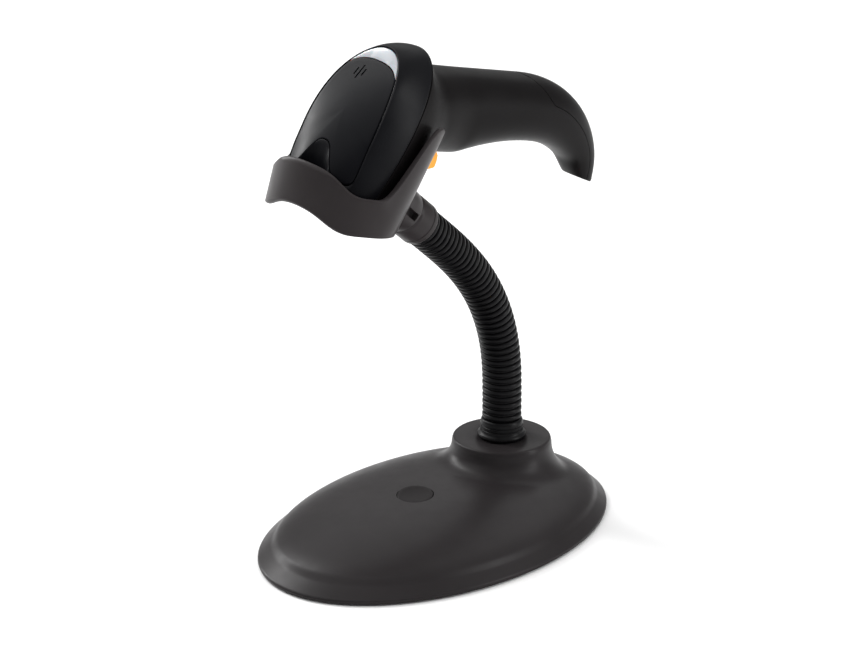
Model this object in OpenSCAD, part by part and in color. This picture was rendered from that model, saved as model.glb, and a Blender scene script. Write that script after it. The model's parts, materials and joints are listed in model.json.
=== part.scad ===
// Handheld barcode scanner standing nose-down in a ring cradle on a gooseneck stand.
// Row frame: origin under the middle of the elliptical foot, +Z up, the scanner's nose towards -Y.
// The cradle and the scanner are drawn in the head frame: its +Z is the axis of the neck's upper
// end and the normal of the scanner's top, its -Y is the nose, its X is the scanner's width.
// The handle is drawn in grip coordinates [t, p]: t runs down the handle from the head, p backwards.

/* [Foot] */
// Length of the foot, front to back
base_l = 208; // [200:1:216]
// Width of the foot
base_w = 138.6; // [132:0.2:146]
// Height of the foot's crown
base_h = 24.5; // [23:0.5:26]
// Wall thickness of the foot's shell
base_wall = 2.5; // [2:0.1:3]
// Height of the flat top of the pedestal
pedestal_h = 36; // [35:0.5:38]
// Radius of the pedestal's top
pedestal_r = 24.5; // [22:0.5:26]
// Distance of the pedestal behind the middle of the foot
pedestal_y = 49.3; // [46:0.1:52]
// Diameter of the round inlay in the foot
inlay_d = 18; // [16:0.5:20]
// Distance of the inlay in front of the middle of the foot
inlay_y = 15; // [12:0.5:18]

/* [Gooseneck] */
// Radius over the ribs of the rubber sleeve
neck_r = 10; // [9.5:0.1:10.5]
// Length of the neck from the pedestal to the cradle's boss
neck_l = 149.2; // [146:0.1:152]
// Angle from the vertical of the neck's upper end
neck_tilt = 50.2; // [48:0.1:52]
// Height of the smooth collar under the first rib
collar_h = 10; // [9:0.5:11]
// Gap left at each bending joint
joint_gap = 2.5; // [2.4:0.1:2.8]

/* [Cradle] */
// Distance from the neck's end to the head frame's origin
boss_reach = 64.5; // [63:0.5:66]
// Turn of the cradle about the neck's end
cradle_turn = -4.7; // [-6:0.1:-3]
// Turn of the scanner, which sits a little askew in the cradle
twist = -7; // [-8:0.5:-6]
// Wall thickness of the ring
ring_wall = 3; // [2.6:0.1:3.4]
// Half width of the ring's rim
ring_half_w = 36; // [35:0.5:37]
// Height of the ears at the back of the ring, above the head frame's origin
ear_y = 35; // [32:0.5:37]

/* [Scanner head] */
// Half width of the head at the part line
head_half_w = 28; // [27.5:0.1:28.5]
// Place of the head's rear end
head_rear = 64.6; // [64:0.2:65.4]
// Place of the head's nose, in front of the origin
head_nose = 25; // [24.5:0.1:25.5]
// Half width of the top plate
plate_half_w = 22.3; // [22:0.1:22.6]
// Thickness of the top plate
plate_t = 1.6; // [1.4:0.1:1.7]
// Wall thickness of the mouldings
wall = 2; // [1.8:0.1:2.2]

/* [Handle] */
// Lean of the handle away from the normal of the head
grip_lean = 25.8; // [25:0.1:26.5]
// Place of the handle's straight back
grip_back = 49.6; // [49.2:0.1:50]
// Place of the handle's front at its middle
grip_front = 16.9; // [16.6:0.1:17.2]
// Half width of the handle at its middle
grip_half_w = 16.5; // [16:0.1:17]
// Width of the trigger
trigger_w = 13; // [12.4:0.1:13.4]
// Radius of the trigger's pin
pin_r = 1.25; // [1.2:0.05:1.3]

/* [Hidden] */
neck_joints = 9;
neck_sections = neck_joints + 1;
$fn = 64;
fit = 0.2;
section_l = (neck_l - collar_h) / neck_sections;
ribs = 4;

// ---- plain functions ---------------------------------------------------------------------
function clamp01(v) = max(0, min(1, v));
function smooth(v) = let (c = clamp01(v)) c * c * (3 - 2 * c);
function spow(v, e) = sign(v) * pow(abs(v), e);
function flat_sum(v, i = 0) = i < len(v) ? v[i] + flat_sum(v, i + 1) : 0;
function middle(ring) = [for (c = [0 : 2]) flat_sum([for (q = ring) q[c]]) / len(ring)];

// A closed solid through a stack of rings, with a fan of triangles on each end.
module loft(rings) {
    n = len(rings[0]);
    m = len(rings);
    points = concat([for (r = rings) each r], [middle(rings[0]), middle(rings[m - 1])]);
    sides = [for (i = [0 : m - 2], j = [0 : n - 1]) let (k = (j + 1) % n)
        each [[i * n + j, (i + 1) * n + j, (i + 1) * n + k], [i * n + j, (i + 1) * n + k, i * n + k]]];
    low = [for (j = [0 : n - 1]) [m * n, j, (j + 1) % n]];
    high = [for (j = [0 : n - 1]) [m * n + 1, (m - 1) * n + (j + 1) % n, (m - 1) * n + j]];
    polyhedron(points, concat(sides, low, high));
}

// A closed loop through a list of rings, the last joined to the first.
module loop_loft(rings) {
    n = len(rings[0]);
    m = len(rings);
    polyhedron([for (r = rings) each r],
        [for (i = [0 : m - 1], j = [0 : n - 1]) let (k = (j + 1) % n, u = (i + 1) % m)
            each [[i * n + j, u * n + k, u * n + j], [i * n + j, i * n + k, u * n + k]]]);
}

// Sculpted shells are worked out as one mesh.
module sculpted() { resize([0, 0, 0]) children(); }

// ---- the foot ----------------------------------------------------------------------------
crown_y = 18;
skirt_share = 0.925;
skirt_h = 8;
rim_z = 0.6;
pad_t = 1;
plate_z = pad_t + 0.1;
foot_points = 72;

// Height of the foot's skin against the share of the outline, 1 at the rim and 0 at the crown.
function foot_z(share) = share > skirt_share
    ? skirt_h - (share - skirt_share) / (1 - skirt_share) * (skirt_h - 2.4)
    : skirt_h + (base_h - skirt_h) * pow(1 - pow(share / skirt_share, 2.2), 0.65);
function foot_ring(share, z, inset = 0) = [for (j = [0 : foot_points - 1]) let (a = 360 * j / foot_points)
    [(base_w / 2 - inset) * share * cos(a), crown_y * (1 - share) + (base_l / 2 - inset) * share * sin(a), z]];
foot_shares = [1, 0.975, 0.95, 0.925, 0.9, 0.86, 0.8, 0.7, 0.55, 0.35, 0.15];
function foot_rings(inset) = concat([foot_ring(1, rim_z - inset * 2, inset)],
    [for (s = foot_shares) foot_ring(s, foot_z(s) - inset, inset)]);

// The inlay's pocket faces forwards and a little to the right.
module at_inlay() { translate([0, -inlay_y, base_h - 2.2]) rotate([6, 3, 0]) children(); }

module foot_ellipse(inset, h) {
    linear_extrude(h) polygon([for (j = [0 : foot_points - 1]) let (a = 360 * j / foot_points)
        [(base_w / 2 - inset) * cos(a), (base_l / 2 - inset) * sin(a)]]);
}

// Height of the foot's skin over any point: the share of the outline through it comes first.
function share_at(x, y) = let (h = base_l / 2, c = crown_y, b = y - c, a = pow(2 * x / base_w, 2))
    (b * c + sqrt(b * b * c * c + (h * h - c * c) * (a * h * h + b * b))) / (h * h - c * c);
// Distance from the pedestal's axis, along a heading, to the ellipse of a share.
function reach_to(a, share) = let (p = base_w / 2 * share, q = base_l / 2 * share,
    y = pedestal_y - crown_y * (1 - share), k = pow(cos(a) / p, 2) + pow(sin(a) / q, 2),
    b = y * sin(a) / (q * q))
    (sqrt(b * b - k * (pow(y / q, 2) - 1)) - b) / k;
// A point of the skin at a reach from the pedestal's axis.
function skin_point(a, reach, lift) = let (x = reach * cos(a), y = pedestal_y + reach * sin(a))
    [x, y, foot_z(share_at(x, y)) + lift];
skin_points = 96;
skin_headings = [for (j = [0 : skin_points - 1]) 360 * j / skin_points];
// The pedestal is a stub with a hollow sweep that runs out along the skin.
sweep_r = 10;
sweep_top = 33;
stub_r = pedestal_r + 0.8;
function sweep_point(a, angle) = skin_point(a, stub_r + sweep_r * (1 - cos(angle)),
    (sweep_top - skin_point(a, stub_r, 0)[2]) * (1 - sin(angle)));
function dome_point(a, i) = let (out = stub_r + sweep_r, x = out * cos(a), y = pedestal_y + out * sin(a),
    from = share_at(x, y)) skin_point(a, reach_to(a, from + (0.9 - from) * i / 7), 0);
function disc(r, z) = [for (a = skin_headings) [r * cos(a), pedestal_y + r * sin(a), z]];
module foot_skin() {
    loft(concat(
        [[for (a = skin_headings) let (q = skin_point(a, reach_to(a, 1), 0)) [q[0], q[1], rim_z]]],
        [for (share = [1, 0.975, 0.95, skirt_share]) [for (a = skin_headings) skin_point(a, reach_to(a, share), 0)]],
        [for (i = [7 : -1 : 1]) [for (a = skin_headings) dome_point(a, i)]],
        [for (angle = [90 : -15 : 0]) [for (a = skin_headings) sweep_point(a, angle)]],
        [disc(pedestal_r + 0.5, pedestal_h - 1.4), disc(pedestal_r - 0.9, pedestal_h)]));
}

module base_shell() {
    color([0.13, 0.115, 0.115]) sculpted() difference() {
        foot_skin();
        loft(foot_rings(base_wall));
        translate([0, 0, -1]) pedestal_room();
        at_inlay() rotate([0, 0, 2]) cylinder(d = inlay_d + 0.6, h = 9, $fn = 40);
        for (q = screw_places) translate([q[0], q[1], -1]) cylinder(r = 1.3, h = 9);
    }
}
module pedestal_room() {
    // A small turn keeps the room's facets clear of the dome's.
    translate([0, pedestal_y, base_h - 12]) rotate([0, 0, 1.9])
        cylinder(r = pedestal_r - base_wall, h = pedestal_h - base_h + 12 - base_wall + 1);
    translate([0, pedestal_y, 0]) cylinder(r = 6.7, h = pedestal_h + 9);
}

weight_h = 8;
weight_z = plate_z + 2.2;
module base_weight() {
    color([0.45, 0.46, 0.48]) difference() {
        translate([0, 8, weight_z]) linear_extrude(weight_h)
            polygon([for (j = [0 : 47]) [46 * cos(j * 7.5), 74 * sin(j * 7.5)]]);
        translate([0, pedestal_y, 0]) cylinder(r = 13, h = 30);
    }
}

screw_places = [for (sx = [-1, 1], y = [-58, 58]) [sx * 38, y]];
module base_plate() {
    color([0.1, 0.1, 0.1]) difference() {
        translate([0, 0, plate_z]) foot_ellipse(8, 2);
        for (q = screw_places) translate([q[0], q[1], 0]) {
            cylinder(r = 1.6, h = 9);
            cylinder(r = 2.9, h = pad_t + 1);
        }
    }
}

module base_pad() {
    color([0.05, 0.05, 0.05]) foot_ellipse(8.5, pad_t);
}

module base_screws() {
    color([0.7, 0.7, 0.72]) for (q = screw_places) translate([q[0], q[1], pad_t + 0.15]) {
        cylinder(r = 2.6, h = 0.8);
        cylinder(r = 1.25, h = 7);
    }
}

module base_inlay() {
    color([0.09, 0.08, 0.08]) at_inlay() translate([0, 0, 0.05]) cylinder(d = inlay_d, h = 1.2);
}

// ---- the gooseneck -----------------------------------------------------------------------
// Heading of the neck, degrees from the vertical, at a share of its length.
function heading(share) = neck_tilt * pow(sin(90 * clamp01((share - 0.16) / 0.78)), 1.35);
function section_tilt(k) = k >= neck_joints ? neck_tilt
    : heading((collar_h + section_l * (k + 0.5)) / neck_l);
function section_start(k) = k == 0 ? [0, pedestal_y, pedestal_h + collar_h]
    : section_start(k - 1) + section_l * [0, -sin(section_tilt(k - 1)), cos(section_tilt(k - 1))];
neck_end = section_start(neck_sections);
head_origin = neck_end + boss_reach * [0, -sin(neck_tilt), cos(neck_tilt)];

module at_section(k) { translate(section_start(k)) rotate([section_tilt(k), 0, 0]) children(); }
module at_head() { translate(head_origin) rotate([neck_tilt, 0, 0]) rotate([0, 0, twist]) children(); }
module at_cradle() { translate(head_origin) rotate([neck_tilt, 0, 0]) rotate([0, 0, cradle_turn]) children(); }

groove_r = neck_r - 1.3;
hose_r = 5.5;
rib_pitch = section_l / ribs;
rib_l = 2.4;
// The sections end half a gap short of each joint, the first and last run to their fittings.
function low_end(k) = k == 0 ? 0.05 : joint_gap / 2;
function high_end(k) = k == neck_joints ? section_l - 0.05 : section_l - joint_gap / 2;

module neck_sleeve(k) {
    lo = low_end(k);
    hi = high_end(k);
    outline = concat([[hose_r + 0.4, lo]],
        [for (i = [0 : ribs - 1]) let (a = max(lo, (i + 0.5) * rib_pitch - rib_l / 2),
            b = min(hi, (i + 0.5) * rib_pitch + rib_l / 2))
            each concat(a > lo ? [[groove_r, a - 0.15], [neck_r, a + 0.25]] : [[neck_r, a]],
                b < hi ? [[neck_r, b - 0.25], [groove_r, b + 0.15]] : [[neck_r, b]])],
        [[hose_r + 0.4, hi]]);
    first = k == 0 ? [[groove_r, lo]] : [];
    last = k == neck_joints ? [[groove_r, hi]] : [];
    color([0.04, 0.04, 0.045]) at_section(k) rotate_extrude()
        polygon(concat([outline[0]], first, [for (i = [1 : len(outline) - 2]) outline[i]], last,
            [outline[len(outline) - 1]]));
}

module neck_core(k) {
    lo = k == 0 ? -collar_h - 9 : low_end(k);
    hi = k == neck_joints ? section_l + 8 : high_end(k);
    color([0.6, 0.61, 0.63]) at_section(k) translate([0, 0, lo]) difference() {
        cylinder(r = hose_r, h = hi - lo);
        translate([0, 0, -1]) cylinder(r = hose_r - 1.4, h = hi - lo + 2);
    }
}

module neck_collar() {
    color([0.06, 0.06, 0.065]) translate([0, pedestal_y, pedestal_h + 0.05]) rotate_extrude() polygon([
        [hose_r + 0.3, 0], [12, 0], [12.3, 0.8], [12, 2.2], [10.9, 3], [10.6, 8.4], [9.8, 9.8],
        [hose_r + 0.3, 9.8]]);
}

module neck_nut() {
    color([0.7, 0.7, 0.72]) translate([0, pedestal_y, pedestal_h - base_wall - 5.6]) difference() {
        cylinder(r = 10.5, h = 5, $fn = 6);
        translate([0, 0, -1]) cylinder(r = hose_r + 0.05, h = 7);
    }
}

// ---- the cradle --------------------------------------------------------------------------
ring_points = 72;
ring_low_y = -33;
ring_rim_y = -13;
ring_rear = -33;

// The ring's skin: half ellipses about its axis, flaring up to the rim and closing in at the ears.
function ring_skin(a, y) = let (flare = clamp01((y - ring_low_y) / (ring_rim_y - ring_low_y)),
    close = max(0, (y + 15) / 50), half_w = ring_half_w - 2 * (1 - flare) - 2 * close,
    front = 16 + 9 * flare, rear = -33.3 + 4.3 * close)
    [half_w * sin(a), y, (front + rear) / 2 + (front - rear) / 2 * cos(a)];
// Height of the rim and of the lower edge, for an angle from the front.
function rim_y(a) = -11.7 - 4.1 * exp(-pow((a - 50) / 19, 2))
    + (ear_y + 11) / (1 + exp((90.3 - a) / 4.2)) - (ear_y - 4) * smooth((a - 120) / 19);
function foot_y(a) = -30 - 2.8 * exp(-pow((a - 45) / 22, 2)) + 12 * smooth((a - 52) / 93);
ring_mid_z = -4;
function inward(q) = let (share = 1 - (ring_wall - 0.7 * smooth(q[1] / 25)) / norm([q[0], q[2] - ring_mid_z]))
    [q[0] * share, q[1], ring_mid_z + (q[2] - ring_mid_z) * share];
function ring_section(a) = let (s = abs(a), low = ring_skin(a, foot_y(s)), high = ring_skin(a, rim_y(s)),
    half = ring_skin(a, (foot_y(s) + rim_y(s)) / 2), crest = high + [0, 0.8, 0])
    [low, half, high, (crest + inward(crest)) / 2, inward(high), inward(half), inward(low)];

module cradle() {
    color([0.16, 0.14, 0.14]) at_cradle() sculpted() difference() {
        union() {
            loop_loft([for (i = [0 : ring_points - 1]) ring_section(-180 + 360 * (i + 0.5) / ring_points)]);
            translate([0, 0, boss_low]) cylinder(r1 = 11, r2 = 12.5, h = ring_rear + 3 - boss_low);
        }
        translate([0, 0, boss_low - 1]) cylinder(r = 6.2, h = 10);
        translate([7.5, -3, boss_low + 1.5]) cube([9, 3.8, 9]);
        translate([0, 0, boss_low]) cylinder(r = 1.8, h = 30);
        translate([0, 0, ring_rear + 2]) cylinder(r = 3.6, h = 9);
    }
}

ferrule_l = 14.2;
boss_low = -boss_reach + ferrule_l + 0.15;
module neck_ferrule() {
    color([0.12, 0.11, 0.11]) at_cradle() translate([0, 0, -boss_reach + 0.1]) difference() {
        union() {
            cylinder(r = 11, h = ferrule_l - 0.8);
            translate([0, 0, ferrule_l - 0.8]) cylinder(r = 10.4, h = 0.8);
        }
        translate([0, 0, -1]) cylinder(r = hose_r + 0.1, h = ferrule_l + 2);
    }
}

module cradle_screw() {
    color([0.7, 0.7, 0.72]) at_cradle() translate([0, 0, boss_low - 2]) {
        cylinder(r = 1.6, h = ring_rear + 4.05 - boss_low);
        translate([0, 0, ring_rear + 4.05 - boss_low]) cylinder(r = 3.2, h = 2);
    }
}

// ---- the scanner's head ------------------------------------------------------------------
front_points = 28;
rear_points = 36;
plate_mid = 8;
head_mid = 4.6;

// A closed outline, anticlockwise from above: [half width, middle, front reach, front power,
// rear reach, rear power].
function outline(o) = concat(
    [for (i = [0 : front_points - 1]) let (s = sin(-90 + 180 * i / front_points))
        [o[0] * s, o[1] - o[2] * pow(1 - pow(abs(s), o[3]), 1 / o[3])]],
    [for (j = [0 : rear_points - 1]) let (a = 180 * j / rear_points)
        [o[0] * spow(cos(a), 2 / o[5]), o[1] + o[4] * pow(sin(a), 2 / o[5])]]);
function head_outline(inset) = outline([head_half_w - inset, head_mid, head_mid + head_nose - inset, 5,
    head_rear - head_mid - inset, 2.2]);
// The recess in the top: an oval with a bell-shaped tongue standing into its front.
tongue_l = 15.2;
tongue_w = 8.9;
function recess_outline(inset) = [for (q = outline([plate_half_w - inset, plate_mid, 20.7 - inset, 8,
    46.5 - inset, 2.1])) [q[0], q[1] + (q[1] < plate_mid ? tongue_l * exp(-pow(abs(q[0] / tongue_w), 2.8)) : 0)]];
// Height of the top skin over a point of the head.
function top_z(q) = 18.3 - 0.0036 * pow(q[1] - 32, 2)
    + 5.8 * pow(max(0, (50 - q[1]) / 50), 1.5) * (1 - pow(q[0] / plate_half_w, 2));
function on_top(outline, drop) = [for (q = outline) [q[0], q[1], top_z(q) - drop]];
// The rings that carry the crowned top in from an outline to its middle, one under the other.
top_middle = [0, 20];
function crown(outline, drop) = [for (share = [0.06, 0.4, 0.75])
    on_top([for (q = outline) top_middle + share * ([q[0], q[1]] - top_middle)], drop)];
function reversed(rings) = [for (i = [len(rings) - 1 : -1 : 0]) rings[i]];
// How boxy the shoulder is: round at the sides and the rear, square at the nose.
function boxy(q) = 1.3 + 1.2 * smooth((-q[1] - 4) / 16);
function shoulder(inner, outer, drop, a) = [for (i = [0 : len(inner) - 1])
    let (p = inner[i], q = outer[i], e = 2 / boxy(q), u = pow(sin(a), e), v = pow(cos(a), e))
    [p[0] + (q[0] - p[0]) * u, p[1] + (q[1] - p[1]) * u, (top_z(p) - drop) * v]];

window_half_w = 22;
window_low = -9;
window_high = 8;
module window_hole(grow) {
    translate([0, -head_nose + 2, (window_low + window_high) / 2]) rotate([90, 0, 0])
        linear_extrude(14, center = true) rounded_box(2 * (window_half_w + grow), window_high - window_low + 2 * grow, 4);
}
module rounded_box(w, h, r) {
    for (s = [-1, 1]) {
        for (v = [-1, 1]) translate([s * (w / 2 - r), v * (h / 2 - r)]) circle(r = r, $fn = 24);
    }
    square([w, h - 2 * r], center = true);
    square([w - 2 * r, h], center = true);
}

recess_drop = plate_t + 0.5;
slot_x = -5.7;
slot_y = 38.6;
module beeper_slots(h) {
    for (i = [-1 : 1]) translate([slot_x + i * 2.3, slot_y + i * 0.3, 12]) rotate([0, 0, -3.5])
        linear_extrude(h) square([0.8, 7.9 - abs(i) * 3.8], center = true);
}

module head_shell() {
    color([0.115, 0.12, 0.145]) at_head() sculpted() difference() {
        loft(concat(crown(recess_outline(1.5), recess_drop + wall),
            [on_top(recess_outline(1.5), recess_drop + wall)],
            [for (a = [15 : 25 : 90]) shoulder(recess_outline(1.5), head_outline(wall), recess_drop + wall, a)],
            [shoulder(recess_outline(1.5), head_outline(wall), 0, 90)],
            [for (a = [90 : -15 : 15]) shoulder(recess_outline(0), head_outline(0), 0, a)],
            [on_top(recess_outline(0), 0), on_top(recess_outline(0), recess_drop)],
            reversed(crown(recess_outline(0), recess_drop))));
        window_hole(1.2);
        translate([slot_x, slot_y, 5]) cylinder(r = 5.5, h = 16, $fn = 32);
        translate([0, 50, 5]) cylinder(r = 2.5, h = 16, $fn = 24);
    }
    color([0.115, 0.12, 0.145]) at_head() sculpted() difference() {
        for (q = housing_screws) translate([q[0], q[1], 0.2]) cylinder(r = 2.8, h = 14, $fn = 24);
        for (q = housing_screws) translate([q[0], q[1], -9]) cylinder(r = 1.25, h = 20, $fn = 24);
    }
}

// The plate stops short of the oval's rear, where the crescent light pipe lies.
plate_rear = 47.4;
function plate_outline(inset) = [for (q = recess_outline(inset))
    let (lim = plate_rear - inset - 0.011 * pow(q[0], 2) - 0.00005 * pow(q[0], 4)) [q[0], min(q[1], lim)]];
module top_plate() {
    color([0.09, 0.095, 0.115]) at_head() sculpted() difference() {
        loft(concat(crown(plate_outline(0.4), plate_t),
            [on_top(plate_outline(0.4), plate_t), on_top(plate_outline(0.4), 0.3), on_top(plate_outline(0.6), 0)],
            reversed(crown(plate_outline(0.6), 0))));
        beeper_slots(16);
    }
}

module light_pipe() {
    color([0.85, 0.88, 0.9]) at_head() sculpted() difference() {
        loft(concat(crown(recess_outline(0.3), plate_t),
            [on_top(recess_outline(0.3), plate_t), on_top(recess_outline(0.3), 0)],
            reversed(crown(recess_outline(0.3), 0))));
        loft([on_top(plate_outline(0.1), plate_t + 4), on_top(plate_outline(0.1), -6)]);
        translate([0, 0, 10]) cube([90, 76, 60], center = true);
    }
}

module nose_bezel() {
    color([0.03, 0.03, 0.035]) at_head() translate([0, -head_nose + 1.8, (window_low + window_high) / 2])
        rotate([90, 0, 0]) difference() {
            linear_extrude(4.4, center = true) rounded_box(2 * window_half_w + 2, window_high - window_low + 2, 4.5);
            linear_extrude(9, center = true) rounded_box(2 * window_half_w - 2.4, window_high - window_low - 2.4, 3);
            translate([0, 0, -4.2]) linear_extrude(4)
                rounded_box(2 * window_half_w - 0.3, window_high - window_low - 0.3, 3.5);
        }
}

module scan_window() {
    color([0.35, 0.02, 0.03, 0.7]) at_head() translate([0, -head_nose + 3.1, (window_low + window_high) / 2])
        rotate([90, 0, 0]) linear_extrude(1.2, center = true)
            rounded_box(2 * window_half_w - 0.6, window_high - window_low - 0.6, 3.4);
}

// ---- the lower housing and the handle ------------------------------------------------------
belly_front = 15;
function belly_depth(y) = belly_front + 0.23 * (min(y, 34) + 32);
function belly_ring(inset, a) = [for (q = head_outline(inset))
    let (e = 2 / (2.4 - 1.2 * smooth((q[1] - 34) / 28)), u = pow(sin(a), e), v = pow(cos(a), e), x = q[0] * u, y = 8 + (q[1] - 8) * u)
    [x, y, -(belly_depth(y) - inset) * v]];
module belly(inset) {
    loft(concat([for (a = [8 : 12 : 80]) belly_ring(inset, a)], [belly_ring(inset, 90)],
        inset > 0 ? [[for (q = belly_ring(inset, 90)) q + [0, 0, 1]]] : []));
}

// From grip coordinates to the head frame.
function grip(t, p) = [0, p * cos(grip_lean) + t * sin(grip_lean), p * sin(grip_lean) - t * cos(grip_lean)];
grip_start = 32;
bend_at = 106;
tail_t = 158.5;
back_reach_t = 63.5;
back_reach_p = 62;
back_end = 80.3;
// The handle's front and back lines, as [t, p], for a share of its length.
function front_line(s, inset) = let (t = grip_start + s * (tail_t - grip_start),
    p = t < 112 ? grip_front - 8 * pow(max(0, (112 - max(t, 62)) / 50), 2)
        : grip_front - 15.9 * pow((t - 112) / (tail_t - 112), 2.1))
    [t, p + inset];
bend_share = (bend_at - grip_start - 8) / (tail_t - grip_start);
function back_line(s, inset) = s < bend_share
    ? [grip_start + s / bend_share * (bend_at - grip_start), grip_back - inset]
    : let (a = back_end * pow((s - bend_share) / (1 - bend_share), 0.9))
        [bend_at + (back_reach_t - inset) * sin(a), grip_back - inset - (back_reach_p - inset) * (1 - cos(a))];
function grip_width(s, inset) = grip_half_w + 3.4 * (1 - smooth(s / 0.22)) - 9 * pow(max(0, s - 0.5) / 0.5, 2.2) - inset;
grip_points = 40;
grip_power = 2 / 2.25;
function grip_ring(s, inset) = let (f = front_line(s, inset), b = back_line(s, inset),
    c = (f + b) / 2, h = (b - f) / 2, w = grip_width(s, inset))
    [for (j = [0 : grip_points - 1]) let (a = 360 * j / grip_points,
        u = spow(cos(a), grip_power), q = c + h * u)
        grip(q[0], q[1]) + [w * spow(sin(a), grip_power), 0, 0]];
module handle(inset) {
    first = -0.055;
    last = inset > 0 ? 0.95 : 1;
    loft([for (i = [0 : 27]) grip_ring(first + (last - first) * i / 27, inset)]);
}

// The rear cover's share of the handle: a wedge behind a seam that dives from the back line.
seam_from = 0.487;
function seam_point(s, grow) = let (b = back_line(s, 0), f = front_line(s, 0), d = norm(b - f))
    b + (f - b) / d * (11 * smooth((s - seam_from) / 0.1) - 3 * smooth((s - 0.66) / 0.34) + grow);
module cover_zone(grow) {
    shares = [for (i = [0 : 18]) seam_from + (1 - seam_from) * i / 18];
    inner = [for (s = shares) seam_point(s, grow)];
    outer = [for (i = [18 : -1 : 0]) let (b = back_line(shares[i], 0), f = front_line(shares[i], 0))
        b + (b - f) / norm(b - f) * 6];
    end = seam_point(1, grow) + [8, -9];
    lines = concat(inner, [end], [outer[0] + [8, -9]], outer);
    rotate([90, 0, 90]) linear_extrude(60, center = true)
        polygon([for (q = lines) let (g = grip(q[0], q[1])) [g[1], g[2]]]);
}

pivot = grip(28, 13);
trigger_slot_half = trigger_w / 2 + 0.4;
module trigger_slot() {
    rotate([90, 0, 90]) linear_extrude(2 * trigger_slot_half, center = true)
        polygon([for (q = [[22, -14], [54, -8], [53.5, 14], [48, 20], [23, 20]])
            let (g = grip(q[0], q[1])) [g[1], g[2]]]);
}

// Screws that hold the lower housing to the lid, driven from underneath; the rear is hooked.
housing_screws = [[-21, 10, -15], [21, 10, -15]];
module screw_seats() {
    for (q = housing_screws) translate(q) cylinder(r = 3.2, h = -0.05 - q[2], $fn = 24);
}
module screw_ways() {
    for (q = housing_screws) translate(q) {
        translate([0, 0, -1]) cylinder(r = 1.35, h = 20, $fn = 24);
        translate([0, 0, -30]) cylinder(r = 2.7, h = 30, $fn = 24);
    }
}
module trigger_bosses() {
    for (sx = [-1, 1]) translate(pivot) rotate([0, sx * 90, 0]) translate([0, 0, 8]) cylinder(r = 3, h = 13, $fn = 24);
}
// The socket's frame: at the middle of the tail's end, its local Z running up into the handle.
module at_tail() {
    m = 0.54 * front_line(1, 0) + 0.46 * back_line(1, 0);
    translate(grip(m[0], m[1])) rotate([grip_lean - back_end + 7, 0, 0]) children();
}
module tail_mouth() { at_tail() cube([10, 5.6, 28], center = true); }

module grip_shell() {
    color([0.135, 0.12, 0.12]) at_head() sculpted() difference() {
        union() {
            difference() {
                union() {
                    belly(0);
                    handle(0);
                }
                belly(wall);
                handle(wall);
            }
            screw_seats();
            trigger_bosses();
        }
        screw_ways();
        translate(pivot) rotate([0, 90, 0]) cylinder(r = pin_r + 0.05, h = pin_l + 1, center = true, $fn = 24);
        cover_zone(fit);
        trigger_slot();
        window_hole(1.2);
        tail_mouth();
        translate([-40, -60, -0.05]) cube([80, 160, 60]);
    }
}

module grip_back_cover() {
    color([0.14, 0.125, 0.125]) at_head() sculpted() intersection() {
        difference() {
            handle(0);
            handle(wall);
            tail_mouth();
        }
        cover_zone(-fit);
    }
}

module grip_screws() {
    color([0.7, 0.7, 0.72]) at_head() for (q = housing_screws) translate(q) {
        cylinder(r = 1.2, h = 13);
        translate([0, 0, -1.6]) cylinder(r = 2.3, h = 1.6);
    }
}

module cable_socket() {
    color([0.25, 0.25, 0.26]) at_head() at_tail() translate([0, 0, 7]) difference() {
        cube([9.7, 5.3, 13], center = true);
        translate([0, 0, -2]) cube([8.2, 4, 13], center = true);
    }
}

// ---- inside the head -----------------------------------------------------------------------
board_z = 3;
module main_board() {
    color([0.05, 0.3, 0.12]) at_head() difference() {
        translate([-16, 8, board_z]) cube([32, 41, 1.6]);
        for (x = [-12, 12]) translate([x, 13, 0]) cylinder(r = 1.2, h = 9);
    }
}
module beeper() {
    color([0.08, 0.08, 0.08]) at_head() translate([slot_x, slot_y, board_z + 1.65]) difference() {
        cylinder(r = 6, h = 5.5);
        translate([0, 0, 3]) cylinder(r = 1.2, h = 4);
    }
}
module status_led() {
    color([0.95, 0.95, 0.8]) at_head() translate([0, 47.4, board_z + 1.65]) {
        translate([-1.6, -1.4, 0]) cube([3.2, 2.8, 1.2]);
        translate([0, 0, 1.2]) cylinder(r = 1.2, h = 0.8);
    }
}
module decoder_chip() {
    color([0.06, 0.06, 0.06]) at_head() translate([-6, 16, board_z + 1.65]) cube([12, 12, 1.4]);
}

frame_low = -10.6;
floor_z = frame_low + 1.8;
frame_back = 4.7;
laser_x = 10.5;
laser_z = 2.5;
mirror_at = [-5, -7, frame_low];
module engine_frame() {
    color([0.55, 0.56, 0.58]) at_head() difference() {
        translate([-17.5, -14, frame_low]) cube([35, 20.5, 20.6]);
        translate([-16, frame_back - 24.2, floor_z]) cube([32, 24.2, 17]);
        translate(mirror_at - [0, 0, 1]) cylinder(r = 1.05, h = 4);
        translate([laser_x, 9, laser_z]) rotate([90, 0, 0]) cylinder(r = 4.05, h = 6);
    }
}
module laser_module() {
    color([0.75, 0.6, 0.3]) at_head() translate([laser_x, 6.4, laser_z]) rotate([90, 0, 0]) difference() {
        cylinder(r = 4, h = 13);
        translate([0, 0, 9]) cylinder(r = 2.4, h = 5);
    }
}
module collector_lens() {
    color([0.75, 0.8, 0.85, 0.6]) at_head() translate([laser_x, -11, floor_z + 4.03]) rotate([90, 0, 0]) {
        cylinder(r = 4, h = 1.2);
        translate([0, 0, 1.2]) cylinder(r1 = 4, r2 = 1.6, h = 1.2);
    }
}
module photodiode_board() {
    color([0.05, 0.3, 0.12]) at_head() translate([laser_x - 5, frame_back - 1.25, floor_z + 0.05]) {
        cube([10, 1.2, 7]);
        translate([5, 0, 3.6]) rotate([90, 0, 0]) cylinder(r = 1.8, h = 1);
    }
}
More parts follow.
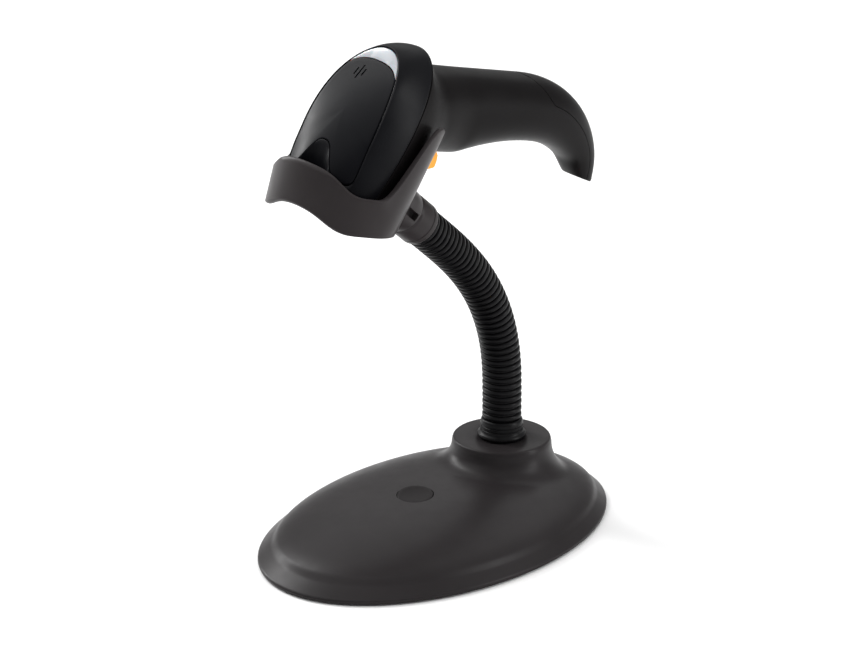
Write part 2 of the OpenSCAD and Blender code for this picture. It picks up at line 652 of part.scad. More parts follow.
module mirror_coil() {
    color([0.72, 0.4, 0.2]) at_head() translate([mirror_at[0], frame_back - 0.05, -0.6]) rotate([90, 0, 0])
        difference() {
            cylinder(r = 4.2, h = 4.6);
            translate([0, 0, 1]) cylinder(r = 1.7, h = 5);
        }
}
module mirror_pin() {
    color([0.75, 0.75, 0.77]) at_head() translate(mirror_at + [0, 0, 0.3]) cylinder(r = 1, h = 18.4);
}
// The mirror: a hub on the pin and a blade turned towards the laser.
module scan_mirror() {
    color([0.8, 0.82, 0.85]) at_head() translate(mirror_at + [0, 0, 3]) difference() {
        union() {
            cylinder(r = 2, h = 14.4);
            rotate([0, 0, 35]) translate([-8, -2.6, 2]) cube([16, 1.6, 11]);
        }
        translate([0, 0, -1]) cylinder(r = 1.05, h = 18);
    }
}

// ---- the trigger -----------------------------------------------------------------------------
pin_l = 30;
module trigger_pin() {
    color([0.75, 0.75, 0.77]) at_head() translate(pivot) rotate([0, 90, 0]) cylinder(r = pin_r, h = pin_l, center = true);
}
spring_turns = 5;
module trigger_spring() {
    steps = 14;
    color([0.7, 0.7, 0.72]) at_head() translate(pivot) loft([for (i = [0 : spring_turns * steps])
        let (a = 360 * i / steps, x = -2.6 + 5.2 * i / (spring_turns * steps))
        [for (j = [0 : 5]) let (r = 2.1 + 0.3 * cos(60 * j), w = 0.3 * sin(60 * j)) [x + w, r * cos(a), r * sin(a)]]]);
}
module trigger_switch() {
    g = grip(42, 20.5);
    color([0.1, 0.1, 0.1]) at_head() translate(g) rotate([grip_lean, 0, 0]) {
        translate([-4, 0, -4]) cube([8, 3.5, 8]);
        translate([0, 0.05, 0]) rotate([90, 0, 0]) cylinder(r = 1.4, h = 1.1);
    }
}
// The trigger: a fork round the spring, an arm and a finger face, hollowed at its front.
module trigger() {
    arc = [for (i = [0 : 8]) let (u = i / 8) [31 + 21 * u, 0.6 + 3.4 * pow(abs(u - 0.62) / 0.62, 2)]];
    lines = concat([[25, 15.6], [24.6, 11], [27, 7]], arc, [[52.6, 4.6], [52.4, 8.2], [45, 16.6], [34, 17.4],
        [27.5, 16.8]]);
    color([0.95, 0.55, 0.05]) at_head() difference() {
        rotate([90, 0, 90]) linear_extrude(trigger_w, center = true)
            polygon([for (q = lines) let (g = grip(q[0], q[1])) [g[1], g[2]]]);
        translate(pivot) rotate([0, 90, 0]) cylinder(r = pin_r + 0.05, h = 40, center = true);
        translate(pivot) rotate([0, 90, 0]) cylinder(r = 4.6, h = 6, center = true);
    }
}

base_shell();
base_weight();
base_plate();
base_pad();
base_screws();
base_inlay();
neck_collar();
neck_nut();
for (k = [0 : neck_joints]) neck_sleeve(k);
for (k = [0 : neck_joints]) neck_core(k);
cradle();
neck_ferrule();
cradle_screw();
head_shell();
top_plate();
light_pipe();
nose_bezel();
scan_window();
grip_shell();
grip_back_cover();
grip_screws();
cable_socket();
main_board();
beeper();
status_led();
decoder_chip();
engine_frame();
laser_module();
collector_lens();
photodiode_board();
mirror_coil();
mirror_pin();
scan_mirror();
trigger_pin();
trigger_spring();
trigger_switch();
trigger();
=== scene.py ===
"""Looks of a handheld barcode scanner that stands nose down in a ring cradle on a gooseneck stand.

Lengths are in millimetres until a mesh is made. The head frame is the scanner's own: its +Z is the normal of the
scanner's top, its -Y is the nose and its X is the width. Grip coordinates (t, p) run down and across the handle.
"""

import json
import math

import bmesh
import bpy
import numpy as np
from mathutils import Matrix, Vector


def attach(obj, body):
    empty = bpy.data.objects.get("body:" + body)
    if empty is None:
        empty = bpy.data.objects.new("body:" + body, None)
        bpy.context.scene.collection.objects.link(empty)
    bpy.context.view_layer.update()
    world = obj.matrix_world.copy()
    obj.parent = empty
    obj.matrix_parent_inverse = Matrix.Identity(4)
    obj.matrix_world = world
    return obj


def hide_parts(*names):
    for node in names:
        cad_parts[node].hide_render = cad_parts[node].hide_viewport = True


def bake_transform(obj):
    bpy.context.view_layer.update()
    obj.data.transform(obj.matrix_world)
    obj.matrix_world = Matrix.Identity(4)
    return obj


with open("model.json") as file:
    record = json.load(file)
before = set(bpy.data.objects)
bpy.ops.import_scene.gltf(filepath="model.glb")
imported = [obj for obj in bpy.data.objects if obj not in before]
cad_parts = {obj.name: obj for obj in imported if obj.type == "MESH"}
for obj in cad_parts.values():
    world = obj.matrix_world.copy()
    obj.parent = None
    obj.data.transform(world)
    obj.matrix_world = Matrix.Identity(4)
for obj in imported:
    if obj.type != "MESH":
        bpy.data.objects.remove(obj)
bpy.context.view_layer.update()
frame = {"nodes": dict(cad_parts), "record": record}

MM = 0.001

# ---- driving dimensions, the same as the CAD's ---------------------------------------------------
BASE_L, BASE_W, BASE_H = 208.0, 138.6, 24.5
SKIRT_EDGE_H = 2.4
RIM_Z, SKIRT_H, SKIRT_SHARE, CROWN_Y = 0.6, 8.0, 0.925, 18.0
PEDESTAL_Y, PEDESTAL_H, PEDESTAL_R = 49.3, 36.0, 24.5
SWEEP_R, SWEEP_TOP = 10.0, 33.0
INLAY_D, INLAY_Y, INLAY_SINK = 18.0, 15.0, 2.2
INLAY_PITCH, INLAY_ROLL = 6.0, 3.0

NECK_R, NECK_L, NECK_TILT, COLLAR_H = 10.0, 149.2, 50.2, 10.0
GROOVE_R, HOSE_R = 8.7, 5.5
NECK_JOINTS, RIBS = 9, 4
SECTION_L = (NECK_L - COLLAR_H) / (NECK_JOINTS + 1)
RIB_PITCH = SECTION_L / RIBS

BOSS_REACH, FERRULE_L = 64.5, 14.2
CRADLE_TURN, TWIST = -4.7, -7.0  # about the ring's axis: the cradle's, and the scanner's in it
RING_WALL, RING_HALF_W, EAR_Y, RING_STEPS = 3.0, 36.0, 35.0, 264
RING_LOW_Y, RING_RIM_Y, RING_FRONT, RING_REAR, RING_MID_Z = -33.0, -13.0, 16.0, -33.0, -4.0

HEAD_HALF_W, HEAD_REAR, HEAD_NOSE, HEAD_MID, TOP_Z = 28.0, 64.6, 25.0, 4.6, 18.3
PLATE_HALF_W, PLATE_MID, PLATE_T, PLATE_REAR = 22.3, 8.0, 1.6, 47.4
RECESS_FRONT, RECESS_BACK = 20.7, 46.5  # both from PLATE_MID
TONGUE_L, TONGUE_W = 15.2, 8.9
WALL = 2.0
WINDOW_HALF_W, WINDOW_LOW, WINDOW_HIGH, WINDOW_ROOM = 22.0, -9.0, 8.0, 1.2
BEEPER_X, BEEPER_Y = -5.7, 38.6
SCREW_X, SCREW_Y = 21.0, 10.0
PART_GAP = 0.15
RECESS_DROP = PLATE_T + 0.5

GRIP_LEAN, GRIP_BACK, GRIP_FRONT, GRIP_HALF_W = 25.8, 49.6, 16.9, 16.5
GRIP_THROAT, ROOT_SPREAD, GRIP_POWER = 8.9, 3.4, 2.25
GRIP_START, TAIL_T, BEND_AT = 32.0, 158.5, 106.0
THROAT_END, CURL_AT, CURL_RISE = 62.0, 112.0, 15.9
TAIL_FLARE = 3.6
BACK_REACH_T, BACK_REACH_P, BACK_END = 63.5, 62.0, 80.3
SEAM_FROM = 0.487
TRIGGER_W = 13.0


# ---- plain functions -----------------------------------------------------------------------------
def clamp01(v):
    return np.clip(v, 0.0, 1.0)


def smooth(v):
    c = clamp01(v)
    return c * c * (3 - 2 * c)


def spow(v, e):
    return np.sign(v) * np.abs(v) ** e


def cos_d(a):
    return np.cos(np.radians(a))


def sin_d(a):
    return np.sin(np.radians(a))


def turn_x(points, a):
    x, y, z = np.moveaxis(np.asarray(points, float), -1, 0)
    return np.stack([x, y * cos_d(a) - z * sin_d(a), y * sin_d(a) + z * cos_d(a)], -1)


def turn_z(points, a):
    x, y, z = np.moveaxis(np.asarray(points, float), -1, 0)
    return np.stack([x * cos_d(a) - y * sin_d(a), x * sin_d(a) + y * cos_d(a), z], -1)


# ---- the neck's line, and the frames that hang on it ---------------------------------------------
def heading(share):
    """How far the neck leans forward, in degrees, at a share of its length."""
    return NECK_TILT * sin_d(90 * clamp01((share - 0.16) / 0.78)) ** 1.35


def section_tilt(k):
    """The lean of a rigid section: the neck's own, half way along it."""
    return NECK_TILT if k >= NECK_JOINTS else heading((COLLAR_H + SECTION_L * (k + 0.5)) / NECK_L)


SECTION_STARTS = [np.array([0.0, PEDESTAL_Y, PEDESTAL_H + COLLAR_H])]
for k in range(NECK_JOINTS + 1):
    tilt = section_tilt(k)
    SECTION_STARTS.append(SECTION_STARTS[-1] + SECTION_L * np.array([0, -sin_d(tilt), cos_d(tilt)]))
NECK_END = SECTION_STARTS[-1]
HEAD_ORIGIN = NECK_END + BOSS_REACH * np.array([0, -sin_d(NECK_TILT), cos_d(NECK_TILT)])


def at_head(points, turn=TWIST):
    """Points of the head frame, put where the scanner stands."""
    return turn_x(turn_z(points, turn), NECK_TILT) + HEAD_ORIGIN


def at_cradle(points):
    return at_head(points, CRADLE_TURN)


def grip(t, p, x=0.0):
    """Points of the handle, from grip coordinates to the head frame."""
    t, p = np.asarray(t, float), np.asarray(p, float)
    y = p * cos_d(GRIP_LEAN) + t * sin_d(GRIP_LEAN)
    z = p * sin_d(GRIP_LEAN) - t * cos_d(GRIP_LEAN)
    return np.stack([np.broadcast_to(x, y.shape), y, z], -1)


# ---- materials -----------------------------------------------------------------------------------
def graph(name):
    material = bpy.data.materials.new(name)
    material.use_nodes = True
    tree = material.node_tree
    shader = tree.nodes["Principled BSDF"]
    place = tree.nodes.new("ShaderNodeTexCoord")
    return material, tree, shader, place.outputs["Object"]


def noise(tree, place, scale, detail=2.0, rough=0.5, stretch=None):
    if stretch is not None:
        mapping = tree.nodes.new("ShaderNodeMapping")
        mapping.inputs["Scale"].default_value = stretch
        tree.links.new(place, mapping.inputs["Vector"])
        place = mapping.outputs["Vector"]
    node = tree.nodes.new("ShaderNodeTexNoise")
    node.inputs["Scale"].default_value = scale
    node.inputs["Detail"].default_value = detail
    node.inputs["Roughness"].default_value = rough
    tree.links.new(place, node.inputs["Vector"])
    return node.outputs["Fac"]


def ramp(tree, factor, low, high, start=0.3, end=0.7):
    node = tree.nodes.new("ShaderNodeMapRange")
    node.inputs["From Min"].default_value = start
    node.inputs["From Max"].default_value = end
    node.inputs["To Min"].default_value = low
    node.inputs["To Max"].default_value = high
    tree.links.new(factor, node.inputs["Value"])
    return node.outputs["Result"]


def shades(tree, factor, dark, light):
    node = tree.nodes.new("ShaderNodeMix")
    node.data_type = "RGBA"
    node.inputs["A"].default_value = (*dark, 1)
    node.inputs["B"].default_value = (*light, 1)
    tree.links.new(factor, node.inputs["Factor"])
    return node.outputs["Result"]


def bump(tree, shader, heights, depth):
    node = tree.nodes.new("ShaderNodeBump")
    node.inputs["Strength"].default_value = 1.0
    node.inputs["Distance"].default_value = depth * MM
    tree.links.new(heights, node.inputs["Height"])
    tree.links.new(node.outputs["Normal"], shader.inputs["Normal"])


def moulded(name, color, rough, grain=2600.0, depth=0.012, spread=0.10, gloss=0.07, **fixed):
    """Spark-textured moulded plastic: fine grain, slow cloudiness in colour and in gloss."""
    material, tree, shader, place = graph(name)
    cloud = noise(tree, place, 32, 3)
    color = np.array(color)
    tint = shades(tree, ramp(tree, cloud, 0, 1), tuple(color * (1 - spread)), tuple(color * (1 + spread)))
    tree.links.new(tint, shader.inputs["Base Color"])
    handled = noise(tree, place, 75, 4, 0.6)
    tree.links.new(ramp(tree, handled, rough - 0.035, rough + 0.045), shader.inputs["Roughness"])
    bump(tree, shader, noise(tree, place, grain, 2), depth)
    shader.inputs["Specular IOR Level"].default_value = gloss
    for socket, value in fixed.items():
        shader.inputs[socket.replace("_", " ")].default_value = value
    return material


def metal(name, color, rough, stretch=(1, 1, 40), depth=0.004):
    """Turned or drawn metal: fine lines along one direction."""
    material, tree, shader, place = graph(name)
    lines = noise(tree, place, 60, 5, 0.6, stretch)
    color = np.array(color)
    tree.links.new(shades(tree, lines, tuple(color * 0.85), tuple(color)), shader.inputs["Base Color"])
    tree.links.new(ramp(tree, lines, rough - 0.06, rough + 0.08), shader.inputs["Roughness"])
    shader.inputs["Metallic"].default_value = 1.0
    bump(tree, shader, lines, depth)
    return material


def light_guide(name):
    material, tree, shader, place = graph(name)
    cloud = noise(tree, place, 90, 2)
    tree.links.new(shades(tree, cloud, (0.36, 0.39, 0.42), (0.44, 0.47, 0.50)), shader.inputs["Base Color"])
    tree.links.new(ramp(tree, cloud, 0.22, 0.32), shader.inputs["Roughness"])
    shader.inputs["Subsurface Weight"].default_value = 0.35
    shader.inputs["Subsurface Scale"].default_value = 0.002
    shader.inputs["Coat Weight"].default_value = 0.3
    return material


def clear_part(name, color, rough):
    material, tree, shader, place = graph(name)
    haze = noise(tree, place, 160, 3)
    tree.links.new(ramp(tree, haze, rough, rough + 0.05), shader.inputs["Roughness"])
    tree.links.new(shades(tree, haze, tuple(0.92 * c for c in color), color), shader.inputs["Base Color"])
    shader.inputs["Transmission Weight"].default_value = 0.85
    shader.inputs["IOR"].default_value = 1.49
    return material


def circuit(name):
    """Solder mask over faint tracks."""
    material, tree, shader, place = graph(name)
    tracks = tree.nodes.new("ShaderNodeTexBrick")
    tracks.inputs["Scale"].default_value = 260
    tracks.inputs["Mortar Size"].default_value = 0.06
    tracks.inputs["Color1"].default_value = (0.006, 0.10, 0.035, 1)
    tracks.inputs["Color2"].default_value = (0.008, 0.12, 0.045, 1)
    tracks.inputs["Mortar"].default_value = (0.02, 0.19, 0.08, 1)
    tree.links.new(place, tracks.inputs["Vector"])
    tree.links.new(tracks.outputs["Color"], shader.inputs["Base Color"])
    tree.links.new(ramp(tree, noise(tree, place, 300), 0.25, 0.4), shader.inputs["Roughness"])
    bump(tree, shader, tracks.outputs["Fac"], 0.02)
    return material


STAND = moulded("stand_plastic", (0.0195, 0.017, 0.0178), 0.36, grain=2200, depth=0.014, gloss=0.12)
CRADLE = moulded("cradle_plastic", (0.030, 0.026, 0.0268), 0.34, grain=2400, depth=0.012, gloss=0.12)
LID = moulded("lid_plastic", (0.0052, 0.0053, 0.0066), 0.34)
PLATE = moulded("plate_plastic", (0.0050, 0.0052, 0.0068), 0.33, grain=2800, depth=0.010)
GRIP = moulded("grip_plastic", (0.0062, 0.0054, 0.0057), 0.35)
BLACK = moulded("bezel_plastic", (0.012, 0.012, 0.013), 0.5)
SOCKET = moulded("socket_plastic", (0.010, 0.010, 0.011), 0.45)
INLAY = moulded("inlay_plastic", (0.0165, 0.0145, 0.015), 0.45)
CHIP = moulded("chip_black", (0.012, 0.012, 0.012), 0.55, grain=1500)
RUBBER = moulded("neck_rubber", (0.0038, 0.0036, 0.0042), 0.36, grain=1500, depth=0.02, spread=0.2, gloss=0.12)
PAD = moulded("foot_rubber", (0.012, 0.012, 0.012), 0.8, grain=900, depth=0.06)
TRIGGER = moulded("trigger_plastic", (0.93, 0.40, 0.018), 0.32, depth=0.006, spread=0.05,
                  gloss=0.4, Subsurface_Weight=0.08, Subsurface_Scale=0.002)
STEEL = metal("screw_steel", (0.62, 0.62, 0.64), 0.30)
NECK_STEEL = metal("neck_steel", (0.48, 0.49, 0.51), 0.35, (1, 1, 120))
CAST = moulded("weight_steel", (0.13, 0.13, 0.135), 0.6, grain=700, depth=0.08, spread=0.25, Metallic=0.8)
ENGINE = metal("engine_metal", (0.55, 0.56, 0.58), 0.42, (1, 1, 1))
BRASS = metal("laser_brass", (0.72, 0.52, 0.22), 0.25, (1, 40, 1))
COPPER = metal("coil_copper", (0.62, 0.27, 0.12), 0.35, (1, 90, 1), 0.03)
MIRROR = metal("mirror_face", (0.9, 0.91, 0.93), 0.08, (1, 1, 1), 0.0005)
GUIDE = light_guide("light_pipe")
WINDOW = clear_part("window_plastic", (0.42, 0.012, 0.02), 0.05)
LENS = clear_part("lens_clear", (0.92, 0.95, 0.97), 0.02)
LED = clear_part("led_white", (0.95, 0.95, 0.85), 0.15)
BOARD = circuit("board_green")


# ---- meshes --------------------------------------------------------------------------------------
def stitch(rings, closed=False):
    """Points and faces of a skin through equal rings; the ends get a fan each unless the skin is a closed loop."""
    rings = [np.asarray(r, float) for r in rings]
    m, n = len(rings), len(rings[0])
    points = np.concatenate(rings)
    faces = []
    for i in range(m if closed else m - 1):
        a, b = i * n, (i + 1) % m * n
        faces += [(a + j, a + (j + 1) % n, b + (j + 1) % n, b + j) for j in range(n)]
    if not closed:
        points = np.concatenate([points, rings[0].mean(0)[None], rings[-1].mean(0)[None]])
        last = (m - 1) * n
        faces += [(m * n, (j + 1) % n, j) for j in range(n)]
        faces += [(m * n + 1, last + j, last + (j + 1) % n) for j in range(n)]
    return points, faces


def mesh_object(name, points, faces, sharp=30):
    mesh = bpy.data.meshes.new(name)
    mesh.from_pydata((np.asarray(points) * MM).tolist(), [], faces)
    clean = bmesh.new()
    clean.from_mesh(mesh)
    bmesh.ops.remove_doubles(clean, verts=clean.verts, dist=1e-7)
    bmesh.ops.recalc_face_normals(clean, faces=clean.faces)
    clean.to_mesh(mesh)
    clean.free()
    obj = bpy.data.objects.new(name, mesh)
    bpy.context.scene.collection.objects.link(obj)
    shade(obj, sharp)
    return obj


def shade(obj, sharp=30):
    obj.data.shade_smooth()
    obj.data.set_sharp_from_angle(angle=math.radians(sharp))


def apply(obj, modifier):
    with bpy.context.temp_override(object=obj, active_object=obj, selected_objects=[obj]):
        bpy.ops.object.modifier_apply(modifier=modifier.name)


def cut(obj, tool, operation="DIFFERENCE"):
    modifier = obj.modifiers.new("cut", "BOOLEAN")
    modifier.operation = operation
    modifier.solver = "EXACT"
    modifier.object = tool
    apply(obj, modifier)
    bpy.data.objects.remove(tool)


def bevel(obj, width, segments, angle):
    modifier = obj.modifiers.new("bevel", "BEVEL")
    modifier.width = width * MM
    modifier.segments = segments
    modifier.limit_method = "ANGLE"
    modifier.angle_limit = math.radians(angle)
    apply(obj, modifier)
    shade(obj)


def dress(obj, material, body, slot, *nodes):
    obj.data.materials.clear()
    obj.data.materials.append(material)
    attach(obj, body)
    if nodes:
        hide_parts(*nodes)
    return obj


def lathe(profile, steps=64):
    """Rings of a closed profile of (radius, height) points turned about Z."""
    angles = np.arange(steps) * 360 / steps
    return [np.stack([r * cos_d(angles), r * sin_d(angles), np.full(steps, float(h))], -1) for r, h in profile]


def arc(center, radius, start, end, steps=5):
    angles = np.linspace(start, end, steps)
    return [(center[0] + radius * cos_d(a), center[1] + radius * sin_d(a)) for a in angles]


def rounded_rect(half_w, half_h, radius, steps=6):
    points = []
    for corner, (sx, sy) in enumerate([(1, 1), (-1, 1), (-1, -1), (1, -1)]):
        points += arc((sx * (half_w - radius), sy * (half_h - radius)), radius, 90 * corner, 90 * corner + 90, steps)
    return np.array(points)


def prism(outline, low, high, place, name="tool"):
    """A straight solid on a flat outline; place puts its (x, y, z) in the object."""
    outline = np.asarray(outline, float)
    n = len(outline)
    points = np.concatenate([np.column_stack([outline, np.full(n, float(z))]) for z in (low, high)])
    faces = [tuple(reversed(range(n))), tuple(range(n, 2 * n))]
    faces += [(j, (j + 1) % n, n + (j + 1) % n, n + j) for j in range(n)]
    return mesh_object(name, place(points), faces)


def lathe_tool(profile, place, steps=48):
    rings = lathe(profile, steps)
    return mesh_object("tool", place(stitch(rings)[0]), stitch(rings)[1])


def world_matrix(place):
    """The 4 by 4 matrix, in metres, of a rigid placing function."""
    origin, *axes = place(np.array([[0, 0, 0], [1, 0, 0], [0, 1, 0], [0, 0, 1]], float))
    columns = [a - origin for a in axes]
    return Matrix([[columns[c][r] for c in range(3)] + [origin[r] * MM] for r in range(3)] + [[0, 0, 0, 1]])


# ---- camera, light and floor ---------------------------------------------------------------------
VIEW_AZIMUTH, VIEW_ELEVATION, VIEW_DISTANCE = 42.5, 20.2, 1.5
TARGET = Vector((0, -0.0017, 0.1089))
FOCAL = 128.06


def look_at(obj, target):
    obj.rotation_euler = (target - obj.location).to_track_quat("-Z", "Y").to_euler()


def put(name, data, azimuth, elevation, distance):
    """An object at a distance from the target, seen at an azimuth from the front (-Y) and an elevation, facing it."""
    azimuth, elevation = math.radians(azimuth), math.radians(elevation)
    flat = math.cos(elevation)
    obj = bpy.data.objects.new(name, data)
    bpy.context.scene.collection.objects.link(obj)
    obj.location = TARGET + distance * Vector((
        math.sin(azimuth) * flat, -math.cos(azimuth) * flat, math.sin(elevation)))
    look_at(obj, TARGET)
    return obj


camera = put("camera", bpy.data.cameras.new("camera"), VIEW_AZIMUTH, VIEW_ELEVATION, VIEW_DISTANCE)
camera.data.lens = FOCAL
camera.data.sensor_width = 36.0
camera.data.clip_end = 50
bpy.context.scene.camera = camera


def soft_box(name, azimuth, elevation, distance, size, power):
    data = bpy.data.lights.new(name, "AREA")
    data.shape = "RECTANGLE"
    data.size, data.size_y = size
    data.energy = power
    put(name, data, azimuth, elevation, distance)


def broad_light(name, azimuth, elevation, strength, spread):
    """A wide, even light from far away, so that the floor is evenly bright."""
    data = bpy.data.lights.new(name, "SUN")
    data.energy = strength
    data.angle = math.radians(spread)
    put(name, data, azimuth, elevation, 1.0)


soft_box("strip", azimuth=-84, elevation=30, distance=1.2, size=(0.2, 1.1), power=12)
soft_box("side", azimuth=118, elevation=16, distance=1.4, size=(0.25, 1.0), power=8)
broad_light("key", azimuth=-40, elevation=55, strength=1.0, spread=60)
broad_light("fill", azimuth=120, elevation=60, strength=0.65, spread=80)
broad_light("back", azimuth=215, elevation=50, strength=0.65, spread=60)

world = bpy.data.worlds.new("studio")
world.use_nodes = True
sky = world.node_tree.nodes["Background"]
sky.inputs["Color"].default_value = (1, 1, 1, 1)
sky.inputs["Strength"].default_value = 0.36
bpy.context.scene.world = world
bpy.context.scene.view_settings.view_transform = "Standard"

FLOOR_SIZE = 8.0
floor = mesh_object("floor", np.array([[-1, -1, 0], [1, -1, 0], [1, 1, 0], [-1, 1, 0]]) * FLOOR_SIZE / 2 / MM,
                    [(0, 1, 2, 3)])
floor.location.z = -0.0002
floor_material, tree, shader, place = graph("floor")
tree.links.new(shades(tree, noise(tree, place, 3), (0.93, 0.93, 0.93), (0.96, 0.96, 0.96)),
               shader.inputs["Base Color"])
shader.inputs["Roughness"].default_value = 0.9
shader.inputs["Specular IOR Level"].default_value = 0.1
floor.data.materials.append(floor_material)


# ---- the foot ------------------------------------------------------------------------------------
FOOT_STEPS = 240
CREASE_SHARES = (0.985, 0.975, 0.965, 0.955, 0.948, 0.942, 0.936, 0.931, 0.926, 0.921, 0.916, 0.911, 0.905)
DOME_FROM = 0.9


def foot_z(share):
    """Height of the foot's skin on the ellipse of a share: 1 at the rim, 0 at the crown."""
    skirt = SKIRT_H - (share - SKIRT_SHARE) / (1 - SKIRT_SHARE) * (SKIRT_H - SKIRT_EDGE_H)
    dome = SKIRT_H + (BASE_H - SKIRT_H) * (1 - clamp01(share / SKIRT_SHARE) ** 2.2) ** 0.65
    return np.where(share > SKIRT_SHARE, skirt, dome)


def soft_foot_z(share):
    """The skin's height with the crease and the rim's shoulder rounded."""
    spread = 0.010 * clamp01((share - 0.80) / 0.08) * clamp01((1.002 - share) / 0.02)
    return sum(foot_z(np.minimum(share + spread * d, 1.0)) for d in np.linspace(-1, 1, 9)) / 9


def share_at(x, y):
    """The share whose ellipse passes through a point. The ellipses shrink towards the crown."""
    h, c = BASE_L / 2, CROWN_Y
    b, a = y - c, (2 * x / BASE_W) ** 2
    return (b * c + np.sqrt(b * b * c * c + (h * h - c * c) * (a * h * h + b * b))) / (h * h - c * c)


def reach_to(heading_a, share):
    """Distance from the pedestal's axis, along a heading, to the ellipse of a share."""
    p, q = BASE_W / 2 * share, BASE_L / 2 * share
    y = PEDESTAL_Y - CROWN_Y * (1 - share)
    k = (cos_d(heading_a) / p) ** 2 + (sin_d(heading_a) / q) ** 2
    b = y * sin_d(heading_a) / (q * q)
    return (np.sqrt(b * b - k * ((y / q) ** 2 - 1)) - b) / k


def skin_ring(headings, reach, lift=0.0):
    x, y = reach * cos_d(headings), PEDESTAL_Y + reach * sin_d(headings)
    return np.stack([x, y, soft_foot_z(share_at(x, y)) + lift], -1)


def disc_ring(headings, radius, z):
    return np.stack([radius * cos_d(headings), PEDESTAL_Y + radius * sin_d(headings), np.full_like(headings, z)], -1)


def at_inlay(points):
    points = np.asarray(points, float)
    x, y, z = points.T
    rolled = np.stack([x + z * sin_d(INLAY_ROLL), y, z - x * sin_d(INLAY_ROLL)], -1)
    return turn_x(rolled, INLAY_PITCH) + [0, -INLAY_Y, BASE_H - INLAY_SINK]


def make_foot():
    # Headings are spaced by the foot's own ellipse, so that its ends are as smooth as its sides.
    rim = np.arange(FOOT_STEPS) * 360 / FOOT_STEPS
    headings = np.degrees(np.arctan2(BASE_L / 2 * sin_d(rim) - PEDESTAL_Y, BASE_W / 2 * cos_d(rim)))
    stub_r = PEDESTAL_R + 0.8
    at_wall = skin_ring(headings, stub_r)[:, 2]
    edge = skin_ring(headings, reach_to(headings, 1.0))
    # The rim's underside and its rounded edge, then the skirt up to its crease.
    rings = [edge * [share, share, 0] + [0, 0, RIM_Z + lift] for share, lift in (
        (0.94, 0.4), (0.985, 0.4), (0.992, 0), (0.998, 0.15), (1, 0.7))]
    rings.append(edge - [0, 0, 0.25])
    for share in (0.998, 0.993) + CREASE_SHARES:
        rings.append(skin_ring(headings, reach_to(headings, share)))
    out = stub_r + SWEEP_R
    x, y = out * cos_d(headings), PEDESTAL_Y + out * sin_d(headings)
    first = share_at(x, y)
    # The dome, up to the hollow sweep round the pedestal.
    for u in np.linspace(1, 0, 30)[:-1]:
        share = first + (DOME_FROM - first) * u ** 0.85
        rings.append(skin_ring(headings, reach_to(headings, share)))
    for a in np.linspace(90, 0, 15):
        rings.append(skin_ring(headings, stub_r + SWEEP_R * (1 - cos_d(a)), (SWEEP_TOP - at_wall) * (1 - sin_d(a))))
    # The pedestal's rounded top and the seat for the collar, then back down inside.
    for r, z in [(PEDESTAL_R + 0.55, PEDESTAL_H - 1.6)] + arc((PEDESTAL_R - 0.9, PEDESTAL_H - 1.3), 1.3, 0, 90, 6):
        rings.append(disc_ring(headings, r, z))
    for r, z in ((PEDESTAL_R - 3, PEDESTAL_H), (13.6, PEDESTAL_H), (12.9, PEDESTAL_H - 0.5), (6, PEDESTAL_H - 0.5)):
        rings.append(disc_ring(headings, r, z))
    for r, z in ((5.9, PEDESTAL_H - 2.5), (PEDESTAL_R - 3, PEDESTAL_H - 2.6), (PEDESTAL_R - 2.5, BASE_H - 6)):
        rings.append(disc_ring(headings, r, z))
    rings.append(skin_ring(headings, reach_to(headings, DOME_FROM), -3.0))
    foot = mesh_object("foot", *stitch(rings, closed=True), sharp=40)
    pocket_r = INLAY_D / 2 + 0.3
    cut(foot, lathe_tool([(pocket_r, 0), (pocket_r, 6)], at_inlay, 72))
    shade(foot, 40)
    dress(foot, STAND, "stand", "stand_plastic", "base_shell")

    r = INLAY_D / 2
    profile = [(0.01, 0.1), (r - 0.2, 0.1), (r, 0.3)] + arc((r - 0.5, 0.95), 0.5, 0, 90, 5) + [
        (r - 2, 1.5), (r - 2.4, 1.38), (0.01, 1.38)]
    inlay = mesh_object("foot_inlay", *stitch(lathe(profile, 72)), sharp=50)
    inlay.data.transform(world_matrix(at_inlay))
    dress(inlay, INLAY, "stand", "inlay_plastic", "base_inlay")


# ---- the gooseneck -------------------------------------------------------------------------------
def neck_point(s):
    """Centre and heading of the hose at a length from the collar's top: a smooth curve through the joints."""
    k = int(min(max(s // SECTION_L, 0), NECK_JOINTS))
    u = s / SECTION_L - k
    start, end = SECTION_STARTS[k], SECTION_STARTS[k + 1]
    tilts = [(section_tilt(max(i - 1, 0)) + section_tilt(min(i, NECK_JOINTS))) / 2 for i in (k, k + 1)]
    m0, m1 = (SECTION_L * np.array([0, -sin_d(t), cos_d(t)]) for t in tilts)
    point = ((2 * u ** 3 - 3 * u * u + 1) * start + (u ** 3 - 2 * u * u + u) * m0
             + (3 * u * u - 2 * u ** 3) * end + (u ** 3 - u * u) * m1)
    slope = ((6 * u * u - 6 * u) * start + (3 * u * u - 4 * u + 1) * m0
             + (6 * u - 6 * u * u) * end + (3 * u * u - 2 * u) * m1)
    return point, math.degrees(math.atan2(-slope[1], slope[2]))


def neck_ring(s, radius):
    point, tilt = neck_point(s)
    flat = lathe([(radius, 0)], 48)[0]
    return turn_x(flat, tilt) + point


